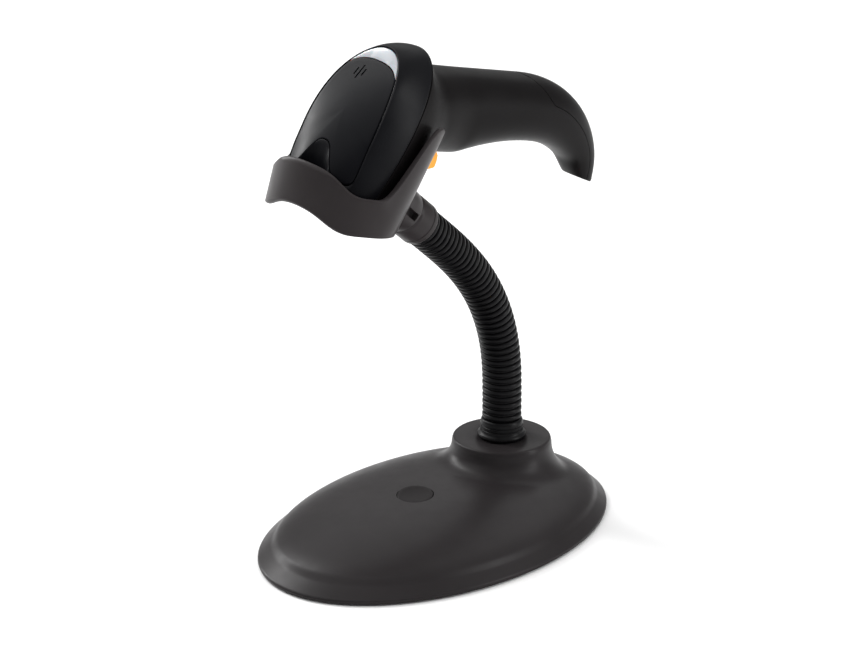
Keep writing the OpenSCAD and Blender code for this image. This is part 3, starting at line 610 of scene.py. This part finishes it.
def hose(name, start, end):
    """A length of ribbed hose between two grooves, with its bore."""
    rib = [(0.0, GROOVE_R), (0.30, GROOVE_R + 0.03), (0.46, GROOVE_R + 0.55), (0.72, NECK_R - 0.16),
           (1.15, NECK_R - 0.02), (RIB_PITCH / 2, NECK_R), (RIB_PITCH - 1.15, NECK_R - 0.02),
           (RIB_PITCH - 0.72, NECK_R - 0.16), (RIB_PITCH - 0.46, GROOVE_R + 0.55), (RIB_PITCH - 0.30, GROOVE_R + 0.03)]
    count = round((end - start) / RIB_PITCH)
    outer = [neck_ring(start + i * RIB_PITCH + s, r) for i in range(count) for s, r in rib]
    outer.append(neck_ring(end, GROOVE_R))
    inner = [neck_ring(end - i * RIB_PITCH / 2, HOSE_R + 0.7) for i in range(2 * count + 1)]
    return mesh_object(name, *stitch(outer + inner, closed=True), sharp=60)


def make_neck():
    half = SECTION_L / 2
    dress(hose("hose_root", 0, half), RUBBER, "stand", "neck_rubber", "neck_sleeve_0")
    tip = half + NECK_JOINTS * SECTION_L
    dress(hose("hose_tip", tip, tip + half), RUBBER, "cradle", "neck_rubber")
    for k in range(1, NECK_JOINTS + 1):
        joint = k * SECTION_L
        length = hose(f"hose_{k}", joint - half, joint + half)
        length.data.materials.append(RUBBER)
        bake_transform(length)
        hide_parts(f"neck_sleeve_{k}")

    profile = [(HOSE_R + 0.3, 0), (11.8, 0), (12.2, 0.4), (12.3, 1.0), (12.2, 1.8), (11.8, 2.3), (11.2, 2.7),
               (10.95, 3.2), (10.9, 4.3), (10.6, 4.5), (10.6, 4.9), (10.85, 5.1), (10.8, 6.2), (10.5, 6.4),
               (10.5, 6.8), (10.75, 7.0), (10.65, 8.4), (10.4, 9.2), (9.9, 9.7), (9.2, 9.8), (HOSE_R + 0.3, 9.8)]
    collar = mesh_object("collar", np.concatenate(lathe(profile, 72)) + [0, PEDESTAL_Y, PEDESTAL_H + 0.05],
                         stitch(lathe(profile, 72), closed=True)[1], sharp=50)
    dress(collar, RUBBER, "stand", "neck_rubber", "neck_collar")

    low = -BOSS_REACH + 0.1
    profile = [(HOSE_R + 0.2, 0), (10.3, 0), (10.8, 0.25), (11, 0.8), (11, 3.0), (10.7, 3.2), (10.7, 3.5),
               (11, 3.7), (11, FERRULE_L - 2.2), (10.8, FERRULE_L - 1.4), (10.4, FERRULE_L - 0.9),
               (10.3, FERRULE_L), (HOSE_R + 0.2, FERRULE_L)]
    rings = [at_cradle(ring + [0, 0, low]) for ring in lathe(profile, 72)]
    dress(mesh_object("ferrule", *stitch(rings, closed=True), sharp=50), CRADLE, "cradle", "cradle_plastic",
          "neck_ferrule")


# ---- the cradle ----------------------------------------------------------------------------------
def ring_skin(a, y):
    """The ring's outside at an angle from its front and at a height y, in the cradle's frame."""
    flare = clamp01((y - RING_LOW_Y) / (RING_RIM_Y - RING_LOW_Y))
    close = np.maximum(0, (y + 15) / (EAR_Y + 15))
    half_w = RING_HALF_W - 2 * (1 - flare) - 2 * close
    front, rear = RING_FRONT + 9 * flare, RING_REAR - 0.3 + 4.3 * close
    return np.stack([half_w * sin_d(a), y + 0 * a, (front + rear) / 2 + (front - rear) / 2 * cos_d(a)], -1)


def hump(a, middle, width):
    return np.exp(-((a - middle) / width) ** 2)


def rim_y(a):
    """The rim dips beside the front, climbs to an ear on each side and falls behind it."""
    climb = 1 / (1 + np.exp((90.3 - a) / 4.2))
    return -11.7 - 4.1 * hump(a, 50, 19) + (EAR_Y + 11) * climb - (EAR_Y - 4) * smooth((a - 120) / 19)


def foot_y(a):
    """The ring's lower edge."""
    return -30 - 2.8 * hump(a, 45, 22) + 12 * smooth((a - 52) / 93)


def inward(q):
    """A point of the ring's outside, carried through the wall."""
    x, y, z = q[..., 0], q[..., 1], q[..., 2]
    share = 1 - (RING_WALL - 0.7 * smooth(y / 25)) / np.hypot(x, z - RING_MID_Z)
    return np.stack([x * share, y, RING_MID_Z + (z - RING_MID_Z) * share], -1)


def rolled_edge(skin, side, height):
    """Rings over an edge of the wall: from outside to inside where side is 1, and back where it is -1."""
    middle, half = (skin + inward(skin)) / 2, (skin - inward(skin)) / 2
    return [middle + side * (half * cos_d(t) + np.array([0, height, 0]) * sin_d(t)) for t in range(20, 161, 20)]


def make_cradle():
    # Angles crowd where the rim climbs to the ears.
    even = np.arange(RING_STEPS) / RING_STEPS * 360 - 180
    a = even - 9 * sin_d(2 * even) * 0.9
    s = np.abs(a)
    low, high = foot_y(s) + 0.8, rim_y(s)
    rows = [ring_skin(a, low + (high - low) * u) for u in np.linspace(0, 1, 22)]
    rows += rolled_edge(ring_skin(a, high), 1, 0.95)
    rows += [inward(ring_skin(a, high + (low - high) * u)) for u in np.linspace(0, 1, 22)]
    rows += rolled_edge(ring_skin(a, low), -1, 0.8)
    ring = mesh_object("cradle_ring", at_cradle(np.concatenate(rows)), stitch(rows, closed=True)[1], sharp=50)

    low = -BOSS_REACH + FERRULE_L + 0.15
    profile = [(0.01, low), (10.5, low), (10.9, low + 0.2), (11.1, low + 0.7), (11.5, low + 6), (12.0, low + 11),
               (12.4, low + 13.5), (13.0, low + 15.3), (14.0, low + 16.8), (15.2, low + 17.8), (16, low + 18.4),
               (0.01, low + 18.6)]
    cut(ring, lathe_tool(profile, at_cradle, 96), "UNION")
    # The mouth for the ferrule, the screw's hole and its seat.
    for radius, start, end in ((6.2, low - 1, low + 9), (1.8, low, low + 30), (3.6, RING_REAR + 2, RING_REAR + 11)):
        cut(ring, lathe_tool([(0.01, start), (radius, start), (radius, end), (0.01, end)], at_cradle))
    notch = rounded_rect(4.5, 4.5, 0.8)
    cut(ring, prism(notch, -3, 0.8, lambda q: at_cradle(np.stack(
        [q[:, 0] + 12, q[:, 2], q[:, 1] + low + 6], -1))))
    shade(ring, 32)
    dress(ring, CRADLE, "cradle", "cradle_plastic", "cradle")


# ---- the scanner's head --------------------------------------------------------------------------
def outline(half_w, middle, front, front_power, rear, rear_power):
    """A closed line of two halves of superellipses that share a width, about y = middle."""
    s = sin_d(-90 + 180 * np.arange(96) / 96)
    a = 180 * np.arange(120) / 120
    front_line = np.stack([half_w * s, middle - front * (1 - np.abs(s) ** front_power) ** (1 / front_power)], -1)
    rear_line = np.stack([half_w * spow(cos_d(a), 2 / rear_power),
                          middle + rear * np.maximum(sin_d(a), 0) ** (2 / rear_power)], -1)
    return np.concatenate([front_line, rear_line])


def head_outline(inset=0.0):
    return outline(HEAD_HALF_W - inset, HEAD_MID, HEAD_MID + HEAD_NOSE - inset, 5, HEAD_REAR - HEAD_MID - inset, 2.2)


def recess_outline(inset=0.0):
    """The recess in the lid, with the tongue that reaches in from its nose end."""
    q = outline(PLATE_HALF_W - inset, PLATE_MID, RECESS_FRONT - inset, 8, RECESS_BACK - inset, 2.1)
    q[:, 1] += np.where(q[:, 1] < PLATE_MID, TONGUE_L * np.exp(-np.abs(q[:, 0] / TONGUE_W) ** 2.8), 0)
    return q


def plate_outline(inset=0.0):
    """The recess as far as the plate's rear edge, which leaves the crescent of the light guide free."""
    q = recess_outline(inset)
    limit = PLATE_REAR - inset - 0.011 * q[:, 0] ** 2 - 0.00005 * q[:, 0] ** 4
    q[:, 1] = np.minimum(q[:, 1], limit)
    return q


def top_z(q):
    """Height of the scanner's top: an arc along its length, crowned across it towards the nose."""
    x, y = q[:, 0], q[:, 1]
    across_top = 5.8 * np.maximum(0, (50 - y) / 50) ** 1.5 * (1 - (x / PLATE_HALF_W) ** 2)
    return TOP_Z - 0.0036 * (y - 32) ** 2 + across_top


def on_top(q, drop=0.0):
    return np.column_stack([q, top_z(q) - drop])


def crown(q, drop, shares=(0.03, 0.2, 0.4, 0.6, 0.75, 0.86, 0.94)):
    """Rings that fill an outline on the scanner's top, from its middle out."""
    middle = np.array([0, 20])
    return [on_top(middle + share * (q - middle), drop) for share in shares]


COARSE = (0.03, 0.3, 0.6, 0.85)


def shoulder(inner, outer, drop, a):
    """A ring of the lid's side: at a = 0 on the inner line of the top, at a = 90 on the outer line of the joint."""
    boxy = 1.3 + 1.2 * smooth((-inner[:, 1] - 4) / 16)
    u, v = sin_d(a) ** (2 / boxy), np.maximum(cos_d(a), 0) ** (2 / boxy)
    return np.column_stack([inner + (outer - inner) * u[:, None], (top_z(inner) - drop) * v])


def beside(inner, outer, out, drop):
    """The recess's rim, moved out over the top by a little and down by a little."""
    away = (outer - inner) / np.linalg.norm(outer - inner, axis=1)[:, None]
    return np.column_stack([inner + away * out, top_z(inner) - drop])


def window_tool():
    half_h = (WINDOW_HIGH - WINDOW_LOW) / 2
    shape = rounded_rect(WINDOW_HALF_W + WINDOW_ROOM, half_h + WINDOW_ROOM, 4)
    return prism(shape, -7, 7, lambda q: at_head(np.stack(
        [q[:, 0], q[:, 2] - HEAD_NOSE + 2, q[:, 1] + (WINDOW_LOW + WINDOW_HIGH) / 2], -1)))


def round_tool(x, y, low, high, radius, steps=40):
    return prism([(x + radius * cos_d(a), y + radius * sin_d(a)) for a in np.arange(steps) * 360 / steps],
                 low, high, at_head)


def make_lid():
    recess, edge = recess_outline(), head_outline()
    deep, far = recess_outline(1.5), head_outline(WALL)
    rings = crown(deep, RECESS_DROP + WALL, COARSE) + [on_top(deep, RECESS_DROP + WALL)]
    rings += [shoulder(deep, far, RECESS_DROP + WALL, a) for a in range(10, 90, 8)]
    rings.append(np.column_stack([far, np.full(len(far), PART_GAP)]))
    rings.append(np.column_stack([edge * 0.994, np.full(len(edge), PART_GAP)]))
    rings.append(np.column_stack([edge, np.full(len(edge), PART_GAP + 0.3)]))
    for a in (*range(87, 77, -3), *range(74, 17, -4), 15, 12):
        ring = shoulder(recess, edge, 0, a)
        ring[:, 2] = np.maximum(ring[:, 2], PART_GAP + 0.3 + 0.02 * (90 - a))
        rings.append(ring)
    for out, drop in ((0.5, 0.02), (0.32, 0.03), (0.18, 0.09), (0.07, 0.22), (0.0, 0.45), (0, RECESS_DROP - 0.3),
                      (-0.1, RECESS_DROP - 0.1), (-0.4, RECESS_DROP)):
        rings.append(beside(recess, edge, out, drop))
    rings += reversed(crown(recess, RECESS_DROP, COARSE))
    lid = mesh_object("lid", *stitch([at_head(r) for r in rings]), sharp=35)
    cut(lid, window_tool())
    cut(lid, round_tool(BEEPER_X, BEEPER_Y, 5, 21, 5.5))
    cut(lid, round_tool(0, 50, 5, 21, 2.5))  # for the lamp under the light guide
    for sx in (-1, 1):
        boss = round_tool(SCREW_X * sx, SCREW_Y, 0.2, 14, 2.8)
        cut(boss, round_tool(SCREW_X * sx, SCREW_Y, -9, 11, 1.25))
        cut(lid, boss, "UNION")
    shade(lid, 35)
    dress(lid, LID, "scanner", "lid_plastic", "head_shell")


def make_plate():
    q = plate_outline
    rings = crown(q(0.4), PLATE_T, COARSE) + [on_top(q(0.4), PLATE_T), on_top(q(0.4), 0.42)]
    rings += [on_top(q(0.44), 0.22), on_top(q(0.55), 0.08), on_top(q(0.72), 0.015), on_top(q(0.95), 0)]
    rings += reversed(crown(q(0.95), 0))
    plate = mesh_object("top_cover", *stitch([at_head(r) for r in rings]), sharp=40)
    for i in (-1, 0, 1):
        slot = rounded_rect(0.4, 3.95 - abs(i) * 1.9, 0.35)
        turned = turn_z(np.column_stack([slot, np.zeros(len(slot))]), -3.5)[:, :2]
        cut(plate, prism(turned + [BEEPER_X + i * 2.3, BEEPER_Y + i * 0.3], 12, 28, at_head))
    shade(plate, 40)
    dress(plate, PLATE, "scanner", "plate_plastic", "top_plate")

    q = recess_outline
    rings = crown(q(0.3), PLATE_T, (0.1, 0.5, 0.85)) + [on_top(q(0.3), PLATE_T), on_top(q(0.3), 0.35)]
    rings += [on_top(q(0.36), 0.15), on_top(q(0.5), 0.03), on_top(q(0.7), 0)] + list(
        reversed(crown(q(0.7), 0, (0.1, 0.5, 0.85))))
    guide = mesh_object("light_guide", *stitch([at_head(r) for r in rings]), sharp=40)
    inside = plate_outline(0.1)
    cut(guide, mesh_object("tool", *stitch([at_head(np.column_stack([inside, np.full(len(inside), float(z))]))
                                            for z in (4, 30)])))
    cut(guide, prism([(-45, -38), (45, -38), (45, 38), (-45, 38)], -20, 40, at_head))
    bevel(guide, 0.15, 2, 50)
    dress(guide, GUIDE, "scanner", "light_pipe", "light_pipe")


def make_window():
    middle = (WINDOW_LOW + WINDOW_HIGH) / 2
    half_h = (WINDOW_HIGH - WINDOW_LOW) / 2

    def frame_ring(grow, y):
        loop = rounded_rect(WINDOW_HALF_W + grow, half_h + grow, 3.6 + 0.5 * grow, 10)
        return at_head(np.column_stack([loop[:, 0], np.full(len(loop), y - HEAD_NOSE), loop[:, 1] + middle]))

    rings = [frame_ring(g, y) for g, y in (
        (1, 4.0), (1, 0.1), (0.9, -0.2), (0.6, -0.4), (0.2, -0.4), (-0.1, -0.2), (-0.15, 0.1), (-0.15, 1.8),
        (-1.0, 1.8), (-1.2, 2.0), (-1.2, 4.0))]
    dress(mesh_object("bezel", *stitch(rings, closed=True), sharp=40), BLACK, "scanner", "bezel_plastic",
          "nose_bezel")
    rings = [frame_ring(g, y) for g, y in ((-0.3, 3.7), (-0.3, 2.7), (-0.4, 2.55), (-0.6, 2.5))]
    dress(mesh_object("window", *stitch(rings), sharp=40), WINDOW, "scanner", "window_plastic", "scan_window")


# ---- the lower housing, the handle and its rear cover --------------------------------------------
EDGE_LINE = head_outline()
BELLY_Y = 8.0  # the belly's middle
EDGE_ANGLE = np.unwrap(np.arctan2(EDGE_LINE[:, 0], -(EDGE_LINE[:, 1] - BELLY_Y)))
EDGE_REACH = np.hypot(EDGE_LINE[:, 0], EDGE_LINE[:, 1] - BELLY_Y)
HANDLE_MIDDLE = (GRIP_THROAT + GRIP_BACK) / 2
HANDLE_HALF = (GRIP_BACK - GRIP_THROAT) / 2
AXIS_SLOPE, AXIS_FALL = sin_d(GRIP_LEAN), cos_d(GRIP_LEAN)
PLAIN_SHARE = 0.15  # of the handle's length: below it the rings are the handle's alone


def edge_at(x, y, values):
    """A value kept along the head's outline, looked up by direction from the belly's middle."""
    order = np.argsort(EDGE_ANGLE)
    return np.interp(np.arctan2(x, -(y - BELLY_Y)), EDGE_ANGLE[order], values[order], period=2 * math.pi)


def belly_field(x, y, z, inset):
    """Roughly the distance outside the belly's skin, in millimetres."""
    reach = edge_at(x, y, EDGE_REACH) - inset
    edge_y = edge_at(x, y, EDGE_LINE[:, 1])
    power = 2.4 - 1.2 * smooth((edge_y - 34) / 28)
    depth = 15 + 0.23 * (np.clip(y, -25, 34) + 32) - inset
    gauge = (np.hypot(x, y - BELLY_Y) / reach) ** power + (np.maximum(-z, 0) / depth) ** power
    return (gauge ** (1 / power) - 1) * 24


def handle_field(x, y, z, inset):
    t = y * AXIS_SLOPE - z * AXIS_FALL
    p = y * AXIS_FALL + z * AXIS_SLOPE
    share = (t - GRIP_START) / (TAIL_T - GRIP_START + 15.3 * (p - GRIP_THROAT) / (GRIP_BACK - GRIP_THROAT))
    width = GRIP_HALF_W + ROOT_SPREAD * (1 - smooth(share / 0.22)) - inset
    gauge = np.abs((p - HANDLE_MIDDLE) / (HANDLE_HALF - inset)) ** GRIP_POWER + np.abs(x / width) ** GRIP_POWER
    return (gauge ** (1 / GRIP_POWER) - 1) * 19


def housing_field(x, y, z, inset, melt=6.0):
    """Belly and handle as one, with their crease melted over a few millimetres."""
    a, b = belly_field(x, y, z, inset), handle_field(x, y, z, inset)
    mix = np.clip(0.5 + 0.5 * (b - a) / melt, 0, 1)
    return b + (a - b) * mix - melt * mix * (1 - mix)


def front_line(s, inset=0.0):
    """The handle's front at a share of its length, in grip coordinates."""
    t = GRIP_START + s * (TAIL_T - GRIP_START)
    if t < CURL_AT:
        share = (CURL_AT - max(t, THROAT_END)) / (CURL_AT - THROAT_END)
        p = GRIP_FRONT + (GRIP_THROAT - GRIP_FRONT) * share ** 2
    else:
        p = GRIP_FRONT - CURL_RISE * ((t - CURL_AT) / (TAIL_T - CURL_AT)) ** 2.1
    # The tail's front flares out over its last few millimetres.
    flare = smooth((s - 0.88) / 0.12)
    return np.array([t - TAIL_FLARE * flare, p - 0.8 * flare + inset])


def back_line(s, inset=0.0):
    """The handle's back: straight down to the bend, then an arc of an ellipse."""
    bend = (BEND_AT - GRIP_START - 8) / (TAIL_T - GRIP_START)
    if s < bend:
        return np.array([GRIP_START + s / bend * (BEND_AT - GRIP_START), GRIP_BACK - inset])
    a = BACK_END * ((s - bend) / (1 - bend)) ** 0.9
    return np.array([BEND_AT + (BACK_REACH_T - inset) * sin_d(a),
                     GRIP_BACK - inset - (BACK_REACH_P - inset) * (1 - cos_d(a))])


def smooth_lines(s, inset):
    """Both lines of the handle, averaged over a short stretch so that no kink shows."""
    spread = min(0.02, 1 - s)
    near = [s + spread * d for d in (-1, -0.5, 0, 0.5, 1)]
    return np.mean([front_line(v, inset) for v in near], 0), np.mean([back_line(v, inset) for v in near], 0)


def grip_width(s, inset=0.0):
    return GRIP_HALF_W + ROOT_SPREAD * (1 - smooth(s / 0.22)) - 9 * max(0, (s - 0.5) / 0.5) ** 2.2 - inset


def handle_ring(s, angles, inset=0.0, shift=0.0):
    """A ring of the handle. Each angle is a direction in its plane, so that rings match those above."""
    front, back = smooth_lines(s, inset)
    middle, half = (front + back) / 2, (back - front) / 2
    h, w = np.linalg.norm(half), grip_width(s, inset)
    du, dx = np.cos(angles), np.sin(angles)
    reach = (np.abs(du / h) ** GRIP_POWER + np.abs(dx / w) ** GRIP_POWER) ** (-1 / GRIP_POWER)
    along = np.array([half[1], -half[0]]) / h
    q = middle + np.outer(reach * du, half / h) + shift * along
    return grip(q[:, 0], q[:, 1], reach * dx)


def plane_ring(slope, height, level):
    """A ring of the joined belly and handle in the plane z = slope * y + height."""
    # Where that plane meets the handle's middle line.
    t = (HANDLE_MIDDLE * (AXIS_SLOPE - AXIS_FALL * slope) - height) / (AXIS_FALL + AXIS_SLOPE * slope)
    middle = grip(t, HANDLE_MIDDLE)
    aim = EDGE_LINE - middle[1] * np.array([0, 1])
    aim = aim / np.linalg.norm(aim, axis=1)[:, None]
    low, high = np.zeros(len(aim)), np.full(len(aim), 90.0)
    for _ in range(34):
        r = (low + high) / 2
        x, y = r * aim[:, 0], middle[1] + r * aim[:, 1]
        inside = housing_field(x, y, slope * y + height, level) < 0
        low, high = np.where(inside, r, low), np.where(inside, high, r)
    x, y = low * aim[:, 0], middle[1] + low * aim[:, 1]
    return np.stack([x, y, slope * y + height], -1), middle


def housing_rings(inset, planes, last):
    """Rings from the joint with the lid down to a share of the handle: planes that tilt, then the handle's own."""
    start = (front_line(PLAIN_SHARE) + back_line(PLAIN_SHARE)) / 2
    lean = back_line(PLAIN_SHARE) - front_line(PLAIN_SHARE)
    end_slope = math.tan(math.radians(GRIP_LEAN) - math.atan2(lean[0], lean[1]))
    centre = grip(start[0], start[1])
    end_height = centre[2] - end_slope * centre[1]
    rings = []
    for i in range(planes + 1):
        u = i / planes
        slope = end_slope * u ** 1.15
        ring, middle = plane_ring(slope, -PART_GAP + (end_height + PART_GAP) * u ** 1.15, inset)
        rings.append(ring)
    flat = rings[-1] - middle
    angles = np.arctan2(flat[:, 0], np.hypot(flat[:, 1], flat[:, 2]) * np.sign(flat[:, 1]))
    for s in np.linspace(PLAIN_SHARE, last, round(planes * 1.3))[1:]:
        rings.append(handle_ring(s, angles, inset))
    return rings, angles


def across(s, depth):
    """The point at a depth in from the handle's back."""
    back, front = back_line(s), front_line(s)
    return back + (front - back) / np.linalg.norm(back - front) * depth


def seam_point(s, grow):
    """The seam of the rear cover dives in from the back and eases out again towards the tail."""
    return across(s, 11 * smooth((s - SEAM_FROM) / 0.1) - 3 * smooth((s - 0.66) / 0.34) + grow)


def side_prism(lines, half, name="tool"):
    """A solid across the handle on an outline given in grip coordinates."""
    return prism(lines, -half, half, lambda q: at_head(grip(q[:, 0], q[:, 1], q[:, 2])), name)


def cover_tool(grow):
    """All that lies behind the seam."""
    shares = SEAM_FROM + (1 - SEAM_FROM) * np.arange(37) / 36
    inner = [seam_point(s, grow) for s in shares]
    outer = [across(s, -6) for s in shares[::-1]]
    return side_prism(inner + [seam_point(1, grow) + [8, -9], outer[0] + [8, -9]] + outer, 30)


def tail_place(points):
    """The frame of the socket's mouth, in the handle's end."""
    middle = 0.54 * np.array([TAIL_T, GRIP_FRONT - CURL_RISE]) + 0.46 * back_line(1)
    return at_head(turn_x(points, GRIP_LEAN - BACK_END + 7) + grip(middle[0], middle[1]))


def make_housing():
    outer, angles = housing_rings(0, 84, 0.985)
    for s, inset, shift in ((0.992, 0, 0), (0.997, 0.12, 0), (1.0, 0.35, 0), (1.0, 0.8, 0.12)):
        outer.append(handle_ring(s, angles, inset, shift))
    inner, _ = housing_rings(WALL, 40, 0.95)
    rim = outer[0] * [0.994, 0.994, 1]
    outer[0][:, 2] -= 0.12
    rings = [at_head(r) for r in list(reversed(inner)) + [rim] + outer]
    housing = mesh_object("lower_housing", *stitch(rings), sharp=40)
    cut(housing, window_tool())
    mouth = rounded_rect(5, 2.8, 0.9)
    cut(housing, prism(mouth, -14, 14, tail_place))
    slot = [(22, -14), (54, -8), (53.5, 14), (48, 20), (23, 20)]
    cut(housing, side_prism(slot, TRIGGER_W / 2 + 0.4))
    for sx in (-1, 1):
        cut(housing, round_tool(SCREW_X * sx, SCREW_Y, -15.4, -0.2, 3.2), "UNION")
        cut(housing, lathe_tool([(0.01, -45), (2.7, -45), (2.7, -15), (1.35, -15), (1.35, 4), (0.01, 4)],
                                lambda q: at_head(q + [SCREW_X * sx, SCREW_Y, 0])))
    cover = housing.copy()
    cover.data = housing.data.copy()
    cover.name = "rear_cover"
    bpy.context.scene.collection.objects.link(cover)
    cut(housing, cover_tool(0.15))
    cut(cover, cover_tool(-0.15), "INTERSECT")
    for obj, node in ((housing, "grip_shell"), (cover, "grip_back_cover")):
        shade(obj, 35)
        dress(obj, GRIP, "scanner", "grip_plastic", node)


def make_trigger():
    # The finger's face is a shallow hollow.
    face = [(31 + 21 * u, 0.6 + 3.4 * (abs(u - 0.62) / 0.62) ** 2) for u in np.arange(25) / 24]
    front = [(25, 15.6), (24.6, 11), (27, 7)]
    back = [(52.6, 4.6), (52.4, 8.2), (45, 16.6), (34, 17.4), (27.5, 16.8)]
    trigger = side_prism(front + face + back, TRIGGER_W / 2, "trigger_lever")
    bevel(trigger, 0.9, 4, 40)
    pivot = grip(28, 13)
    for radius, reach in ((1.35, 20), (4.6, 3)):
        bore = prism([(radius * cos_d(a), radius * sin_d(a)) for a in np.arange(40) * 9], -reach, reach,
                     lambda q: at_head(np.stack([q[:, 2], q[:, 0], q[:, 1]], -1) + pivot))
        cut(trigger, bore)
    shade(trigger, 30)
    dress(trigger, TRIGGER, "trigger", "trigger_plastic", "trigger")


# ---- the carried-over CAD nodes ------------------------------------------------------------------
SLOT_MATERIALS = {m.name.split(".")[0]: m for m in (
    STAND, CRADLE, LID, PLATE, GRIP, BLACK, SOCKET, INLAY, CHIP, RUBBER, PAD, TRIGGER, STEEL, NECK_STEEL, CAST,
    ENGINE, BRASS, COPPER, MIRROR, GUIDE, WINDOW, LENS, LED, BOARD)}


def finish_nodes():
    """Every CAD node takes its own slot's material."""
    slots = {part["node"]: part["material_slot"] for part in frame["record"]["subparts"]}
    for node, obj in frame["nodes"].items():
        obj.data.materials.clear()
        obj.data.materials.append(SLOT_MATERIALS[slots[node]])


make_foot()
make_neck()
make_cradle()
make_lid()
make_plate()
make_window()
make_housing()
make_trigger()
finish_nodes()
